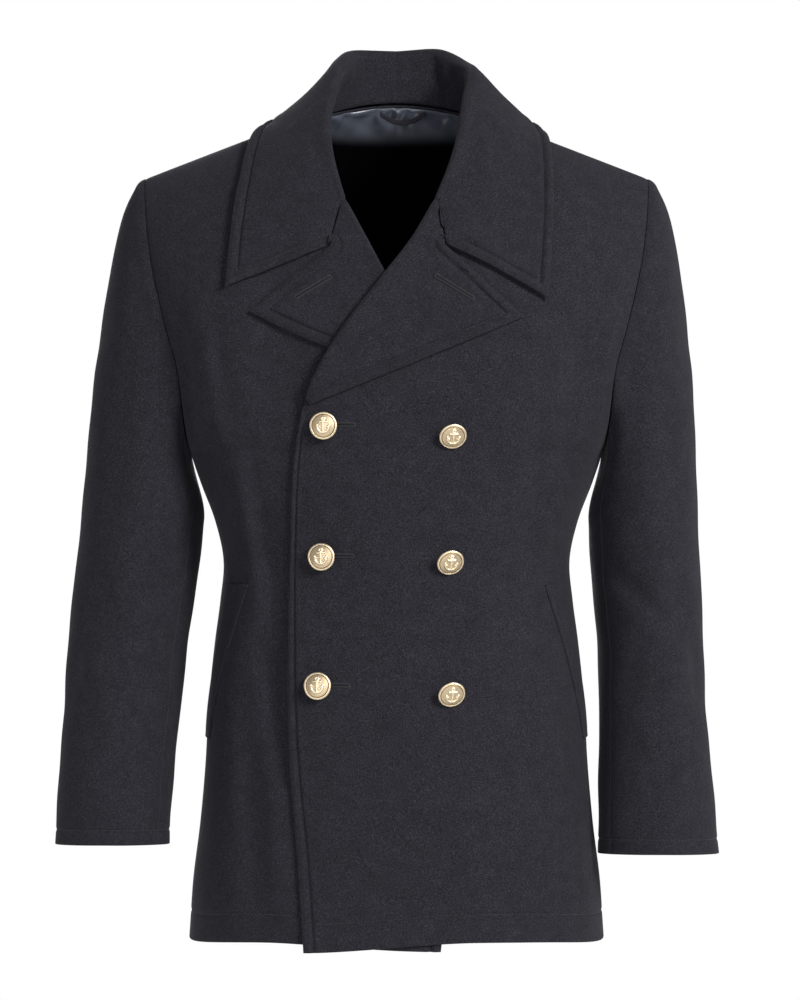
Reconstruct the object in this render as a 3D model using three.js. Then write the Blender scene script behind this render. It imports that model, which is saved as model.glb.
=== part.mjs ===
// Double-breasted pea coat of wool melton, filled out and empty, as it is worn on the shoulders.
// Millimetres, +Z up. The front faces -Y and +X is the wearer's left.
// Origin: midway between the two neck points, where the shoulder seams meet the collar.
import * as THREE from "three";

const V3 = THREE.Vector3;
const DEGREE = Math.PI / 180;

// Cloth walls and the space between pieces
const MELTON = 2.5;
const COLLAR_WALL = 3.4;
const LAPEL_WALL = 3.2;
const SATIN = 1;
const SEAM_GAP = 0.4;
const LAY_GAP = 1.2;
const GORGE_GAP = 1.2;
const STAND_GAP = 1.2;
const STAND_OUT = 1.3;
const WELT_GAP = 1.5;

// Shoulders, neck and armholes
const NECK_HALF = 82;
const NECK_BACK_Y = 72;
const NECK_BACK_Z = 19;
const SHOULDER_SLOPE = 0.38;
const TIP_HALF = 240;
const TIP_Y = 5;
const TIP_Z = -60;
const UNDERARM_Z = -322;
const ARMHOLE_DEPTH = 78;
const ARMHOLE_CURVE_Z = -245;
const CHEST_Z = -220;
const CHEST_ROUND = 1.7;
const GORGE_Z = -93;

// Hem
const HEM_FRONT_Z = -772;
const HEM_DROP_AT_SIDE = 11;
const HEM_HALF = 196;
// A front's hem drops towards its corner, between two places across it.
const OVER_CORNER = { from: 75, to: -100, drop: 9.5 };
const UNDER_CORNER = { from: 150, to: -50, drop: 8.5 };
const BUST_POWER = 2.5;

// How the two fronts lie: the under one is let in below the over one
const LAP_INSET = 4.2;
const LAPEL_INSET = 5;

// Levels of the body: half width of the outline, depth before and behind the side seams' plane,
// and how far round to the side the level reaches where it ends at the armhole.
const BODY_LEVELS = [
  { z: -790, half: 197.5, front: 143, back: 136, reach: 1 },
  { z: -730, half: 194, front: 140, back: 134, reach: 1 },
  { z: -673, half: 187, front: 139, back: 131, reach: 1 },
  { z: -616, half: 182, front: 138, back: 126, reach: 1 },
  { z: -560, half: 179, front: 136, back: 119, reach: 1 },
  { z: -501, half: 173, front: 132, back: 112, reach: 1 },
  { z: -463, half: 168, front: 129, back: 108, reach: 1 },
  { z: -425, half: 165, front: 128, back: 108, reach: 1 },
  { z: -387, half: 173, front: 130, back: 112, reach: 1 },
  { z: -350, half: 187, front: 133, back: 116, reach: 1 },
  { z: -322, half: 196, front: 135, back: 119, reach: 1 },
  { z: -300, half: 199, front: 136, back: 121, reach: 0.985 },
  { z: -245, half: 205, front: 137, back: 124, reach: 0.94 },
  { z: -200, half: 217, front: 137, back: 125, reach: 0.925 },
  { z: -133, half: 232, front: 136, back: 124, reach: 0.92 },
  { z: -60, half: 240, front: 134, back: 122, reach: 0.92 },
  { z: 20, half: 242, front: 134, back: 120, reach: 0.92 },
];

// Front edges below the break of the lapel: x towards the wearer's side is positive on both fronts.
const OVER_EDGE = [
  { z: -790, x: -85 },
  { z: -700, x: -91 },
  { z: -600, x: -99 },
  { z: -480, x: -100 },
  { z: -400, x: -98 },
  { z: -340, x: -95.5 },
  { z: -300, x: -90 },
  { z: -283, x: -86 },
];
const UNDER_EDGE = [
  { z: -790, x: -40 },
  { z: -500, x: -71 },
  { z: -275, x: -78 },
];

// Roll lines of the lapels, from the break up to the gorge, where the collar begins.
const OVER_ROLL = [
  { x: -86, z: -283 },
  { x: -60, z: -233 },
  { x: -10, z: -165 },
  { x: 18, z: -128 },
  { x: 38, z: GORGE_Z },
];
const UNDER_ROLL = [
  { x: -78, z: -275 },
  { x: -42, z: -230 },
  { x: 10, z: -165 },
  { x: 31, z: -128 },
  { x: 50, z: GORGE_Z },
];

// Lapel corners: the notch beside the collar, the point, and the bend of the lower edge.
// rises says where along the roll line, from the break (0) to the gorge (1), the roll becomes full.
const OVER_LAPEL = { notch: [45, -134], point: [117, -200], bend: [8, -247], rises: [0, 0.35] };
const UNDER_LAPEL = { notch: [61, -134], point: [136, -195], bend: [56, -236], rises: [0.66, 0.82] };
const FLAT_ROLL = { crest: 5.2, radius: 3.6 };
const FULL_ROLL = { crest: 6.6, radius: 4.2 };
// At the break, where the lapel begins, it is this much smaller and thinner, up to the given share of the
// roll.
const BREAK = { size: 0.4, share: 0.1 };
// Rows across a lapel: where each starts on the roll line, from the break (0) to the gorge (1), and where
// it ends on the outer edge, from the break (0) by the point (1) to the notch (2) and on up the gorge (3).
const LAPEL_ROWS = [
  { roll: 0.03, edge: 0.04 },
  { roll: 0.09, edge: 0.13 },
  { roll: 0.17, edge: 0.25 },
  { roll: 0.26, edge: 0.38 },
  { roll: 0.36, edge: 0.53 },
  { roll: 0.46, edge: 0.69 },
  { roll: 0.56, edge: 0.85 },
  { roll: 0.64, edge: 1 },
  { roll: 0.71, edge: 1.27 },
  { roll: 0.77, edge: 1.55 },
  { roll: 0.81, edge: 1.78 },
  { roll: 0.845, edge: 1.93 },
  { roll: 0.89, edge: 2 },
  { roll: 0.945, edge: 2.06 },
  { roll: 1, edge: 2.12 },
];
const NOTCH_ROW = { roll: 1, edge: 2 };

// Collar sections, from the middle of the back (0) over the shoulder (3) to the gorge (6).
// seam is the station of the neck seam that lies square below the crest, the top of the roll.
// edge is the outer edge, and its y comes from the body it lies on.
// dip says by how many degrees the fall leaves the roll steeper than straight, and lands flatter.
const COLLAR_LEFT = [
  { at: 0, seam: 0, crestX: 0, crestY: 81, crestZ: 72, radius: 9, edgeX: 0, edgeZ: -8, dip: 0 },
  { at: 1, seam: 0.68, crestX: 42, crestY: 72, crestZ: 73, radius: 9, edgeX: 56, edgeZ: -9, dip: 0 },
  { at: 2, seam: 1.4, crestX: 66, crestY: 42, crestZ: 58, radius: 8.5, edgeX: 106, edgeZ: -15, dip: 2 },
  { at: 3, seam: 2.25, crestX: 73, crestY: 4, crestZ: 42, radius: 8, edgeX: 141, edgeZ: -17, dip: 5 },
  { at: 4, seam: 3.3, crestX: 62, crestY: -36, crestZ: 3, radius: 6.5, edgeX: 147, edgeZ: -76, dip: 2 },
  { at: 5, seam: 4.5, crestX: 54, crestY: -72, crestZ: -41, radius: 5.5, edgeX: 140, edgeZ: -183, dip: 0 },
  { at: 6, seam: 6, crestX: 38, crestY: -102.5, crestZ: -90, radius: 4.8, edgeX: 46, edgeZ: -133, dip: 0 },
];
const COLLAR_RIGHT = [
  { at: 0, seam: 0, crestX: 0, crestY: 81, crestZ: 72, radius: 9, edgeX: 0, edgeZ: -8, dip: 0 },
  { at: 1, seam: 0.66, crestX: 41, crestY: 72, crestZ: 72, radius: 9, edgeX: 52, edgeZ: -9, dip: 0 },
  { at: 2, seam: 1.35, crestX: 51, crestY: 44, crestZ: 64, radius: 8.5, edgeX: 98, edgeZ: -15, dip: 8 },
  { at: 3, seam: 2.25, crestX: 57, crestY: 4, crestZ: 43, radius: 7.5, edgeX: 131, edgeZ: -14, dip: 16 },
  { at: 4, seam: 3.3, crestX: 62, crestY: -36, crestZ: 0, radius: 6.5, edgeX: 149, edgeZ: -79, dip: 5 },
  { at: 5, seam: 4.45, crestX: 61, crestY: -71, crestZ: -40, radius: 5.5, edgeX: 158, edgeZ: -172, dip: 0 },
  { at: 6, seam: 6, crestX: 50, crestY: -102, crestZ: -90, radius: 4.8, edgeX: 62, edgeZ: -133, dip: 0 },
];

// Sleeve rings below the armhole: centre, half width across and half depth front to back,
// and how much the ring drops at its back as the forearm comes forward.
const SLEEVE_TOP_Z = -387;
const SLEEVE_LEFT = [
  { z: -387, x: 236, y: 8, across: 52.5, deep: 76, tilt: 0 },
  { z: -444, x: 238.5, y: 4, across: 52, deep: 70, tilt: 1 },
  { z: -500, x: 242, y: -2, across: 50.5, deep: 65, tilt: 2 },
  { z: -560, x: 243, y: -11, across: 50.5, deep: 61, tilt: 3 },
  { z: -620, x: 245, y: -22, across: 53.5, deep: 57, tilt: 4 },
  { z: -672, x: 246, y: -34, across: 55.8, deep: 54, tilt: 4 },
  { z: -700, x: 247, y: -41, across: 57, deep: 53, tilt: 4 },
];
const SLEEVE_RIGHT = [
  { z: -387, x: 243, y: 8, across: 59, deep: 76, tilt: 0 },
  { z: -444, x: 249, y: 4, across: 58.5, deep: 71, tilt: 1 },
  { z: -500, x: 256, y: -2, across: 57, deep: 66, tilt: 2 },
  { z: -560, x: 260, y: -11, across: 55.5, deep: 61, tilt: 3 },
  { z: -620, x: 265, y: -22, across: 54.5, deep: 57, tilt: 4 },
  { z: -666, x: 267, y: -32, across: 54, deep: 54, tilt: 4 },
  { z: -691.5, x: 268, y: -39, across: 54, deep: 53, tilt: 4 },
];
const FOREARM_SEAM = 147;
const HINDARM_SEAM = 285;

// Soft folds: a ridge or trough from one place to another, its half width and its height.
const OVER_FOLDS = [
  { from: [184, -180], to: [134, -345], wide: 26, high: -5 },
  { from: [40, -640], to: [150, -672], wide: 22, high: 3 },
  { from: [150, -560], to: [165, -700], wide: 20, high: 3.5 },
];
const UNDER_FOLDS = [
  { from: [182, -165], to: [160, -310], wide: 16, high: 6 },
  { from: [160, -310], to: [128, -480], wide: 18, high: 5 },
  { from: [205, -190], to: [186, -300], wide: 12, high: -4 },
  { from: [150, -500], to: [165, -700], wide: 22, high: 4 },
];
const BACK_FOLDS = [
  { from: [186, -180], to: [150, -420], wide: 20, high: 5 },
  { from: [60, -400], to: [85, -720], wide: 30, high: 3 },
  { from: [140, -520], to: [150, -740], wide: 24, high: 4 },
];

// Buttons
const BUTTON_RADIUS = 12.7;
const BUTTON_SEAT = 5.5;
const BUTTON_GAP = 0.5;
const SHOW_LIFT = 1.2;
// The show buttons droop on their shanks, and turn a little to one side, by so many degrees.
const BUTTON_ROWS = [
  { name: "upper", fastened: [-66, -299.5], show: [50.5, -306.5], droop: 26, turn: 1 },
  { name: "middle", fastened: [-67.5, -419.5], show: [48, -422], droop: 26, turn: 6 },
  { name: "lower", fastened: [-71, -538], show: [49, -542.5], droop: 29, turn: 6 },
];

// Pocket welts: the angle round the body of their front and back edges, at the top and bottom
const WELT = { top: -446, bottom: -592, frontTop: 52, backTop: 67, frontBottom: 74, backBottom: 85 };
const WELT_WALL = 2.2;

// Lining and hanger loop
const LINING_ROWS = 9;
const LINING_COLUMN = 6;
const LINING_BELOW = MELTON + 0.9;
const LOOP = { from: -16, to: 28, z: 12, sag: 9, wide: 5, thick: 1.4, inside: 2.6, bow: 2.5 };

const navy = new THREE.MeshStandardMaterial({ color: 0x2b2b33, roughness: 0.95, metalness: 0 });
const satin = new THREE.MeshStandardMaterial({ color: 0x4a5562, roughness: 0.4, metalness: 0 });
const gilt = new THREE.MeshStandardMaterial({ color: 0xd9b36a, roughness: 0.3, metalness: 1 });

const group = new THREE.Group();

function blend(a, b, t) {
  return a + (b - a) * t;
}

function smooth(from, to, value) {
  const t = Math.min(1, Math.max(0, (value - from) / (to - from)));
  return t * t * (3 - 2 * t);
}

// A column of a table, read at any value of its key on a smooth curve through the rows.
function read(rows, key, column, value) {
  const last = rows.length - 1;
  const rising = rows[last][key] > rows[0][key];
  const inside = (k) => (rising ? value >= rows[k][key] : value <= rows[k][key]);
  if (!inside(0)) return rows[0][column];
  if (inside(last)) return rows[last][column];
  let i = 0;
  while (i < last - 1 && inside(i + 1)) i += 1;
  const slope = (k) => (rows[k + 1][column] - rows[k][column]) / (rows[k + 1][key] - rows[k][key]);
  const tangent = (k) => (k === 0 ? slope(0) : k === last ? slope(last - 1) : (slope(k - 1) + slope(k)) / 2);
  const width = rows[i + 1][key] - rows[i][key];
  const t = (value - rows[i][key]) / width;
  const a = rows[i][column];
  const b = rows[i + 1][column];
  const ta = tangent(i) * width;
  const tb = tangent(i + 1) * width;
  return a + t * (ta + t * (3 * (b - a) - 2 * ta - tb + t * (2 * (a - b) + ta + tb)));
}

// How much soft folds move the surface out at a place seen from the front or back.
function foldHeight(folds, x, z) {
  let sum = 0;
  for (const { from, to, wide, high } of folds) {
    const dx = to[0] - from[0];
    const dz = to[1] - from[1];
    const t = ((x - from[0]) * dx + (z - from[1]) * dz) / (dx * dx + dz * dz);
    const along = Math.min(1, Math.max(0, t));
    const away = Math.hypot(x - from[0] - along * dx, z - from[1] - along * dz);
    sum += high * Math.exp(-((away / wide) ** 2)) * Math.sin(Math.PI * (0.15 + 0.7 * along));
  }
  return sum;
}

// The four quarters of the body. side is +1 on the wearer's left, facing is -1 in front and +1 behind.
const OVER = {
  side: 1,
  facing: -1,
  edge: OVER_EDGE,
  roll: OVER_ROLL,
  folds: OVER_FOLDS,
  corner: OVER_CORNER,
  inset: () => 0,
};
const UNDER = {
  side: -1,
  facing: -1,
  edge: UNDER_EDGE,
  roll: UNDER_ROLL,
  folds: UNDER_FOLDS,
  corner: UNDER_CORNER,
  inset: (x, z) =>
    (1 - smooth(106, 152, x)) *
    (1 - smooth(-165, -105, z)) *
    (LAP_INSET + LAPEL_INSET * smooth(-310, -272, z)),
};
const BACK_LEFT = { side: 1, facing: 1, folds: BACK_FOLDS, inset: () => 0 };
const BACK_RIGHT = { side: -1, facing: 1, folds: BACK_FOLDS, inset: () => 0 };

// Height and depth of the ridge that the body rolls over: the shoulder seam, and behind the neck seam.
function ridgeZ(facing, x) {
  const beyond = Math.abs(x) - NECK_HALF;
  if (beyond > 0) return -SHOULDER_SLOPE * beyond;
  return facing < 0 ? 0 : NECK_BACK_Z * (1 - (x / NECK_HALF) ** 2);
}

function ridgeY(facing, x) {
  const beyond = Math.abs(x) - NECK_HALF;
  if (beyond > 0) return (TIP_Y * beyond) / (TIP_HALF - NECK_HALF);
  return facing < 0 ? 0 : NECK_BACK_Y * Math.sqrt(1 - (x / NECK_HALF) ** 2);
}

function reachAt(z) {
  return Math.min(1, read(BODY_LEVELS, "z", "reach", z));
}

// Depth of the body at a place, before it rolls over to the ridge.
function fullDepth(quarter, x, z) {
  const reach = reachAt(z);
  const share = Math.min(reach, (reach * Math.abs(x)) / read(BODY_LEVELS, "z", "half", z));
  const middle = read(BODY_LEVELS, "z", quarter.facing < 0 ? "front" : "back", z);
  const low = (ARMHOLE_CURVE_Z - z) / (ARMHOLE_CURVE_Z - UNDERARM_Z);
  const side = ARMHOLE_DEPTH * Math.sqrt(1 - Math.min(1, Math.max(0, low)) ** 2);
  const crown = (s) => (1 - s ** BUST_POWER) ** (1 / BUST_POWER);
  const round = (crown(share) - crown(reach)) / (1 - crown(reach));
  const fold = foldHeight(quarter.folds, x, z) * smooth(0, 0.25, round);
  return side + (middle - side) * round + fold - quarter.inset(x, z);
}

// y of the outside of a quarter of the body at x and z. x is positive towards the quarter's own side.
function bodyY(quarter, x, z) {
  const top = ridgeZ(quarter.facing, x);
  const rise = Math.min(1, Math.max(0, (z - CHEST_Z) / (top - CHEST_Z)));
  const start = blend(TIP_Y, ridgeY(quarter.facing, x), smooth(-500, CHEST_Z, z));
  const depth = fullDepth(quarter, x, z) - quarter.facing * (start - TIP_Y);
  return start + quarter.facing * depth * (1 - rise ** CHEST_ROUND) ** (1 / CHEST_ROUND);
}

// Moves a point out of the body until it is the given lift away, away from the chest's middle.
function clearOfBody(quarter, p, lift) {
  const x = p.x * quarter.side;
  const height = ridgeZ(quarter.facing, x) + 1.07 * lift - CHEST_Z;
  const rise = Math.max(0, (p.z - CHEST_Z) / height);
  const start = ridgeY(quarter.facing, x);
  const depth = fullDepth(quarter, x, p.z) - quarter.facing * (start - TIP_Y) + lift;
  const out = (p.y - start) / depth;
  const far = (Math.abs(out) ** CHEST_ROUND + rise ** CHEST_ROUND) ** (1 / CHEST_ROUND);
  if (far >= 1 || far < 0.2) return p;
  return new V3(p.x, start + (out / far) * depth, rise > 0 ? CHEST_Z + (rise / far) * height : p.z);
}

function hemZ(quarter, x) {
  if (quarter.facing > 0) return HEM_FRONT_Z - HEM_DROP_AT_SIDE;
  const side = Math.min(1, Math.abs(x) / HEM_HALF) ** 4;
  const { from, to, drop } = quarter.corner;
  return HEM_FRONT_Z - HEM_DROP_AT_SIDE * side - drop * smooth(from, to, x);
}

// Top line of a quarter: shoulder seam, neck seam and roll line in front, neck seam behind.
function topZ(quarter, x) {
  if (x >= NECK_HALF || quarter.facing > 0) return ridgeZ(quarter.facing, x);
  const gorge = quarter.roll[quarter.roll.length - 1].x;
  if (x >= gorge) return (GORGE_Z * (NECK_HALF - x)) / (NECK_HALF - gorge);
  return read(quarter.roll, "x", "z", x);
}

// How far round the body a place is, as an angle: 0 in the middle and 90 degrees at the side seam.
function sideAngle(x, z) {
  const share = Math.min(1, (Math.abs(x) * reachAt(z)) / read(BODY_LEVELS, "z", "half", z));
  return Math.sign(x) * Math.asin(share ** (BUST_POWER / 2));
}

function innerX(quarter, z) {
  return quarter.facing < 0 ? read(quarter.edge, "z", "x", z) : SEAM_GAP / 2;
}

// x of a column of a quarter at a height: 0 at the side seam or armhole, 1 at the inner edge.
function columnX(quarter, s, z) {
  const half = read(BODY_LEVELS, "z", "half", z);
  const angle = blend(sideAngle(half, z), sideAngle(innerX(quarter, z), z), s);
  return (Math.sign(angle) * (half / reachAt(z)) * Math.abs(Math.sin(angle)) ** (2 / BUST_POWER));
}

const SIDE_ROWS = 10;
const ARMHOLE_ROWS = 11;
// The heights of the outermost column's points, from the hem (0) to the tip of the shoulder (1).
function rowShares() {
  const bottom = HEM_FRONT_Z - HEM_DROP_AT_SIDE;
  const shares = [];
  for (let i = 0; i < SIDE_ROWS; i += 1) shares.push(blend(bottom, UNDERARM_Z, i / SIDE_ROWS));
  for (let i = 0; i <= ARMHOLE_ROWS; i += 1) {
    shares.push(blend(UNDERARM_Z, TIP_Z, (1 - Math.cos((Math.PI * i) / ARMHOLE_ROWS)) / 2));
  }
  return shares.map((z) => (z - bottom) / (TIP_Z - bottom));
}

function quarterPoint(quarter, s, share) {
  let top = TIP_Z;
  for (let i = 0; i < 14; i += 1) top = topZ(quarter, columnX(quarter, s, top));
  const low = hemZ(quarter, columnX(quarter, s, HEM_FRONT_Z));
  const z = blend(low, top, share);
  const x = columnX(quarter, s, z);
  const y = bodyY(quarter, x, z) + (quarter.facing * SEAM_GAP) / 2;
  return new V3(quarter.side * x, y, z);
}

function grid(rows, columns, point) {
  return rows.map((r, i) => columns.map((c, j) => point(r, c, i, j)));
}

function evenly(count, from = 0, to = 1) {
  return Array.from({ length: count + 1 }, (_, i) => blend(from, to, i / count));
}

// Outward normals of a grid, from its neighbours. turn is +1 or -1 for the grid's handedness.
function gridNormals(points, turn) {
  const rows = points.length;
  const columns = points[0].length;
  return grid(points, points[0], (_r, _c, i, j) => {
    const a = points[Math.min(rows - 1, i + 1)][j].clone().sub(points[Math.max(0, i - 1)][j]);
    const b = points[i][Math.min(columns - 1, j + 1)].clone().sub(points[i][Math.max(0, j - 1)]);
    return a.cross(b).multiplyScalar(turn).normalize();
  });
}

// A closed wall: the outer grid, the same grid moved in by the thickness, and the four rims.
// thickness is one number, or one for each row.
function wall(points, turn, thickness, adjust, normals = gridNormals(points, turn)) {
  if (adjust) adjust(normals);
  const inner = grid(points, points[0], (_r, _c, i, j) =>
    points[i][j].clone().addScaledVector(normals[i][j], -(thickness[i] ?? thickness)),
  );
  const rows = points.length;
  const columns = points[0].length;
  const position = [...points.flat(), ...inner.flat()].flatMap((p) => [p.x, p.y, p.z]);
  const index = [];
  const quad = (a, b, c, d) => index.push(...(turn > 0 ? [a, b, c, a, c, d] : [a, c, b, a, d, c]));
  const at = (layer, i, j) => layer * rows * columns + i * columns + j;
  for (let i = 0; i < rows - 1; i += 1) {
    for (let j = 0; j < columns - 1; j += 1) {
      quad(at(0, i, j), at(0, i + 1, j), at(0, i + 1, j + 1), at(0, i, j + 1));
      quad(at(1, i, j), at(1, i, j + 1), at(1, i + 1, j + 1), at(1, i + 1, j));
    }
  }
  for (let i = 0; i < rows - 1; i += 1) {
    quad(at(0, i, 0), at(1, i, 0), at(1, i + 1, 0), at(0, i + 1, 0));
    quad(at(0, i, columns - 1), at(0, i + 1, columns - 1), at(1, i + 1, columns - 1), at(1, i, columns - 1));
  }
  for (let j = 0; j < columns - 1; j += 1) {
    quad(at(0, 0, j), at(0, 0, j + 1), at(1, 0, j + 1), at(1, 0, j));
    quad(at(0, rows - 1, j), at(1, rows - 1, j), at(1, rows - 1, j + 1), at(0, rows - 1, j + 1));
  }
  const geometry = new THREE.BufferGeometry();
  geometry.setAttribute("position", new THREE.Float32BufferAttribute(position, 3));
  geometry.setIndex(index);
  return geometry;
}

function piece(name, geometry, material) {
  const mesh = new THREE.Mesh(geometry, material);
  mesh.name = name;
  group.add(mesh);
  return mesh;
}

// Where the columns of a quarter end on its top line: along the shoulder, the neck seam and the roll line.
const SHOULDER_COLUMNS = [240, 234, 221, 201, 177, 152, 127, 103];
function columnShares(quarter) {
  const neck = quarter.facing > 0
    ? evenly(6, 90, 0).map((angle) => Math.max(SEAM_GAP / 2, NECK_HALF * Math.sin(angle * DEGREE)))
    : [
      ...evenly(4, NECK_HALF, quarter.roll[4].x),
      ...evenly(6, quarter.roll[4].x, quarter.roll[0].x).slice(1),
    ];
  return [...SHOULDER_COLUMNS, ...neck].map((x) => {
    const z = topZ(quarter, x);
    const angles = [read(BODY_LEVELS, "z", "half", z), x, innerX(quarter, z)].map((at) => sideAngle(at, z));
    return (angles[0] - angles[1]) / (angles[0] - angles[2]);
  });
}

// Fronts and backs. Along the side and shoulder seams the wall's rim is square to the seam.
function bodyPanel(name, quarter) {
  const points = grid(rowShares(), columnShares(quarter), (share, s) => quarterPoint(quarter, s, share));
  const squareRims = (normals) => {
    normals.forEach((row, i) => {
      if (i <= SIDE_ROWS) row[0].setY(0).normalize();
      if (quarter.facing > 0) row[row.length - 1].setX(0).normalize();
    });
    points[points.length - 1].forEach((p, j) => {
      if (quarter.side * p.x >= NECK_HALF - 1) normals[normals.length - 1][j].set(
        quarter.side * SHOULDER_SLOPE, 0, 1).normalize();
    });
  };
  const turn = -quarter.side * quarter.facing;
  piece(name, wall(points, turn, MELTON, squareRims), navy);
}

// The armhole's seam line: 0 at the tip of the shoulder, 90 in front, 180 under the arm, 270 behind.
function armholePoint(side, angle) {
  const z = blend(UNDERARM_Z, TIP_Z, (1 + Math.cos(angle)) / 2);
  const half = read(BODY_LEVELS, "z", "half", z);
  const front = Math.sin(angle) >= 0;
  const quarter = side > 0 ? (front ? OVER : BACK_LEFT) : front ? UNDER : BACK_RIGHT;
  return new V3(side * half, bodyY(quarter, half, z), z);
}

function sleeveRing(side, table, angle, z) {
  const of = (column) => read(table, "z", column, z);
  const forward = Math.sin(angle);
  const crease = 4.5 * Math.exp(-(((z + 470 + 45 * Math.cos(angle)) / 16) ** 2)) * Math.max(0, forward);
  return new V3(
    side * (of("x") + of("across") * Math.cos(angle)),
    of("y") - (of("deep") - crease) * forward,
    z + of("tilt") * forward,
  );
}

// From the armhole the sleeve leaves outwards and turns down into its rings.
function sleeveHead(side, table, angle, t) {
  const start = armholePoint(side, angle).add(new V3(side * 1.6 * SEAM_GAP, 0, 0));
  const end = sleeveRing(side, table, angle, SLEEVE_TOP_Z);
  const below = sleeveRing(side, table, angle, SLEEVE_TOP_Z - 12).sub(end).normalize();
  const whole = end.clone().sub(start);
  const upper = (1 + Math.cos(angle)) / 2;
  const leave = whole.clone().normalize().multiplyScalar(0.5);
  leave.add(new V3(side * (0.12 + 0.7 * upper), 0, 0)).normalize();
  const first = start.clone().addScaledVector(leave, whole.length() * blend(0.3, 0.11, upper));
  const second = end.clone().addScaledVector(below, -whole.length() * blend(0.3, 0.52, upper));
  const k = 1 - t;
  return start
    .multiplyScalar(k * k * k)
    .addScaledVector(first, 3 * k * k * t)
    .addScaledVector(second, 3 * k * t * t)
    .addScaledVector(end, t * t * t);
}

function sleevePanel(name, side, table, from, to, columns) {
  const rows = [
    ...[0, 0.07, 0.18, 0.33, 0.5, 0.68, 0.85].map((t) => ({ t })),
    ...evenly(9, SLEEVE_TOP_Z, table[table.length - 1].z).map((z) => ({ z })),
  ];
  const gap = SEAM_GAP / 2 / 60 / DEGREE;
  const angles = evenly(columns, (from + gap) * DEGREE, (to - gap) * DEGREE);
  const step = angles[1] - angles[0];
  const beyond = [angles[0] - step, ...angles, angles[columns] + step];
  const wide = grid(rows, beyond, ({ t, z }, angle) =>
    z === undefined ? sleeveHead(side, table, angle, t) : sleeveRing(side, table, angle, z),
  );
  const trim = (row) => row.slice(1, -1);
  const normals = gridNormals(wide, -side).map(trim);
  normals[0].forEach((n, k) => {
    const under = (1 - Math.cos(angles[k])) / 2;
    n.setX(n.x * smooth(0.55, 0.9, under)).normalize();
  });
  piece(name, wall(wide.map(trim), -side, MELTON, undefined, normals), navy);
}

// One section across a turned-back piece, on its visible face: up from the seam, round the crest, and
// down to the outer edge. along runs down the piece from the wearer's right end to the left end.
// The normals are the stand's and the roll's own; the fall's follow from its neighbours later.
function turnedSection({ seam, crest, along, edge, radius, thickness, swell, size = 1, dip = 0 }, steps) {
  const up = crest.clone().sub(seam).projectOnPlane(along).normalize();
  const out = new V3().crossVectors(up, along).normalize();
  const start = seam.clone().addScaledVector(out, STAND_OUT * size - thickness)
    .addScaledVector(up, STAND_GAP * size);
  const least = radius + (STAND_GAP + 0.4) * size;
  const centre = seam.clone().addScaledVector(up, Math.max(crest.clone().sub(seam).dot(up), least) - radius)
    .addScaledVector(along, crest.clone().sub(seam).dot(along));
  const ray = (angle) => out.clone().multiplyScalar(-Math.cos(angle)).addScaledVector(up, Math.sin(angle));
  const arc = (angle) => centre.clone().addScaledVector(ray(angle), radius);
  const fall = edge.clone().sub(crest);
  const turn = Math.atan2(fall.dot(out), fall.dot(up)) + dip * DEGREE;
  const last = Math.min(Math.PI * 0.97, Math.max(Math.PI * 0.45, turn));
  const points = [];
  const normals = [];
  const foot = arc(0);
  for (let i = 0; i < steps.stand; i += 1) {
    points.push(start.clone().lerp(foot, i / steps.stand));
    normals.push(ray(0));
  }
  for (let i = 0; i < steps.roll; i += 1) {
    points.push(arc((last * i) / steps.roll));
    normals.push(ray((last * i) / steps.roll));
  }
  const head = arc(last);
  normals.push(ray(last));
  const reach = edge.clone().sub(head);
  const leave = new V3().addScaledVector(out, Math.sin(last)).addScaledVector(up, Math.cos(last));
  const straight = Math.max(0, reach.dot(leave) / reach.length());
  const first = head.clone().addScaledVector(leave, reach.length() * swell * straight ** 2);
  const outward = new V3().addScaledVector(out, -reach.dot(up)).addScaledVector(up, reach.dot(out));
  const land = reach.clone()
    .multiplyScalar(Math.cos(dip * DEGREE))
    .addScaledVector(outward, Math.sin(dip * DEGREE));
  const second = edge.clone().addScaledVector(land, -0.3);
  for (let i = 0; i <= steps.fall; i += 1) {
    const t = (i / steps.fall) ** 1.15;
    const k = 1 - t;
    points.push(head.clone().multiplyScalar(k * k * k).addScaledVector(first, 3 * k * k * t)
      .addScaledVector(second, 3 * k * t * t).addScaledVector(edge, t * t * t));
  }
  return { points, normals, thickness };
}

// Turned sections side by side as a closed wall.
function turnedWall(sections, turn) {
  const points = sections.map((section) => section.points);
  return wall(points, turn, sections.map((section) => section.thickness), (normals) => {
    sections.forEach((section, i) => section.normals.forEach((n, j) => normals[i][j].copy(n)));
  });
}

function quarterAt(side, behind) {
  if (side > 0) return behind ? BACK_LEFT : OVER;
  return behind ? BACK_RIGHT : UNDER;
}

// The neck seam at a collar station: behind it is a half oval, in front it runs down to the gorge.
function neckSeam(side, at) {
  if (at <= 3) {
    const angle = (at / 3) * 90 * DEGREE;
    return new V3(side * NECK_HALF * Math.sin(angle), NECK_BACK_Y * Math.cos(angle),
      NECK_BACK_Z * Math.cos(angle) ** 2);
  }
  const quarter = quarterAt(side, false);
  const gorge = quarter.roll[quarter.roll.length - 1].x;
  const x = blend(NECK_HALF, gorge, (at - 3) / 3);
  const z = topZ(quarter, x);
  return new V3(side * x, bodyY(quarter, x, z), z);
}

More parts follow.
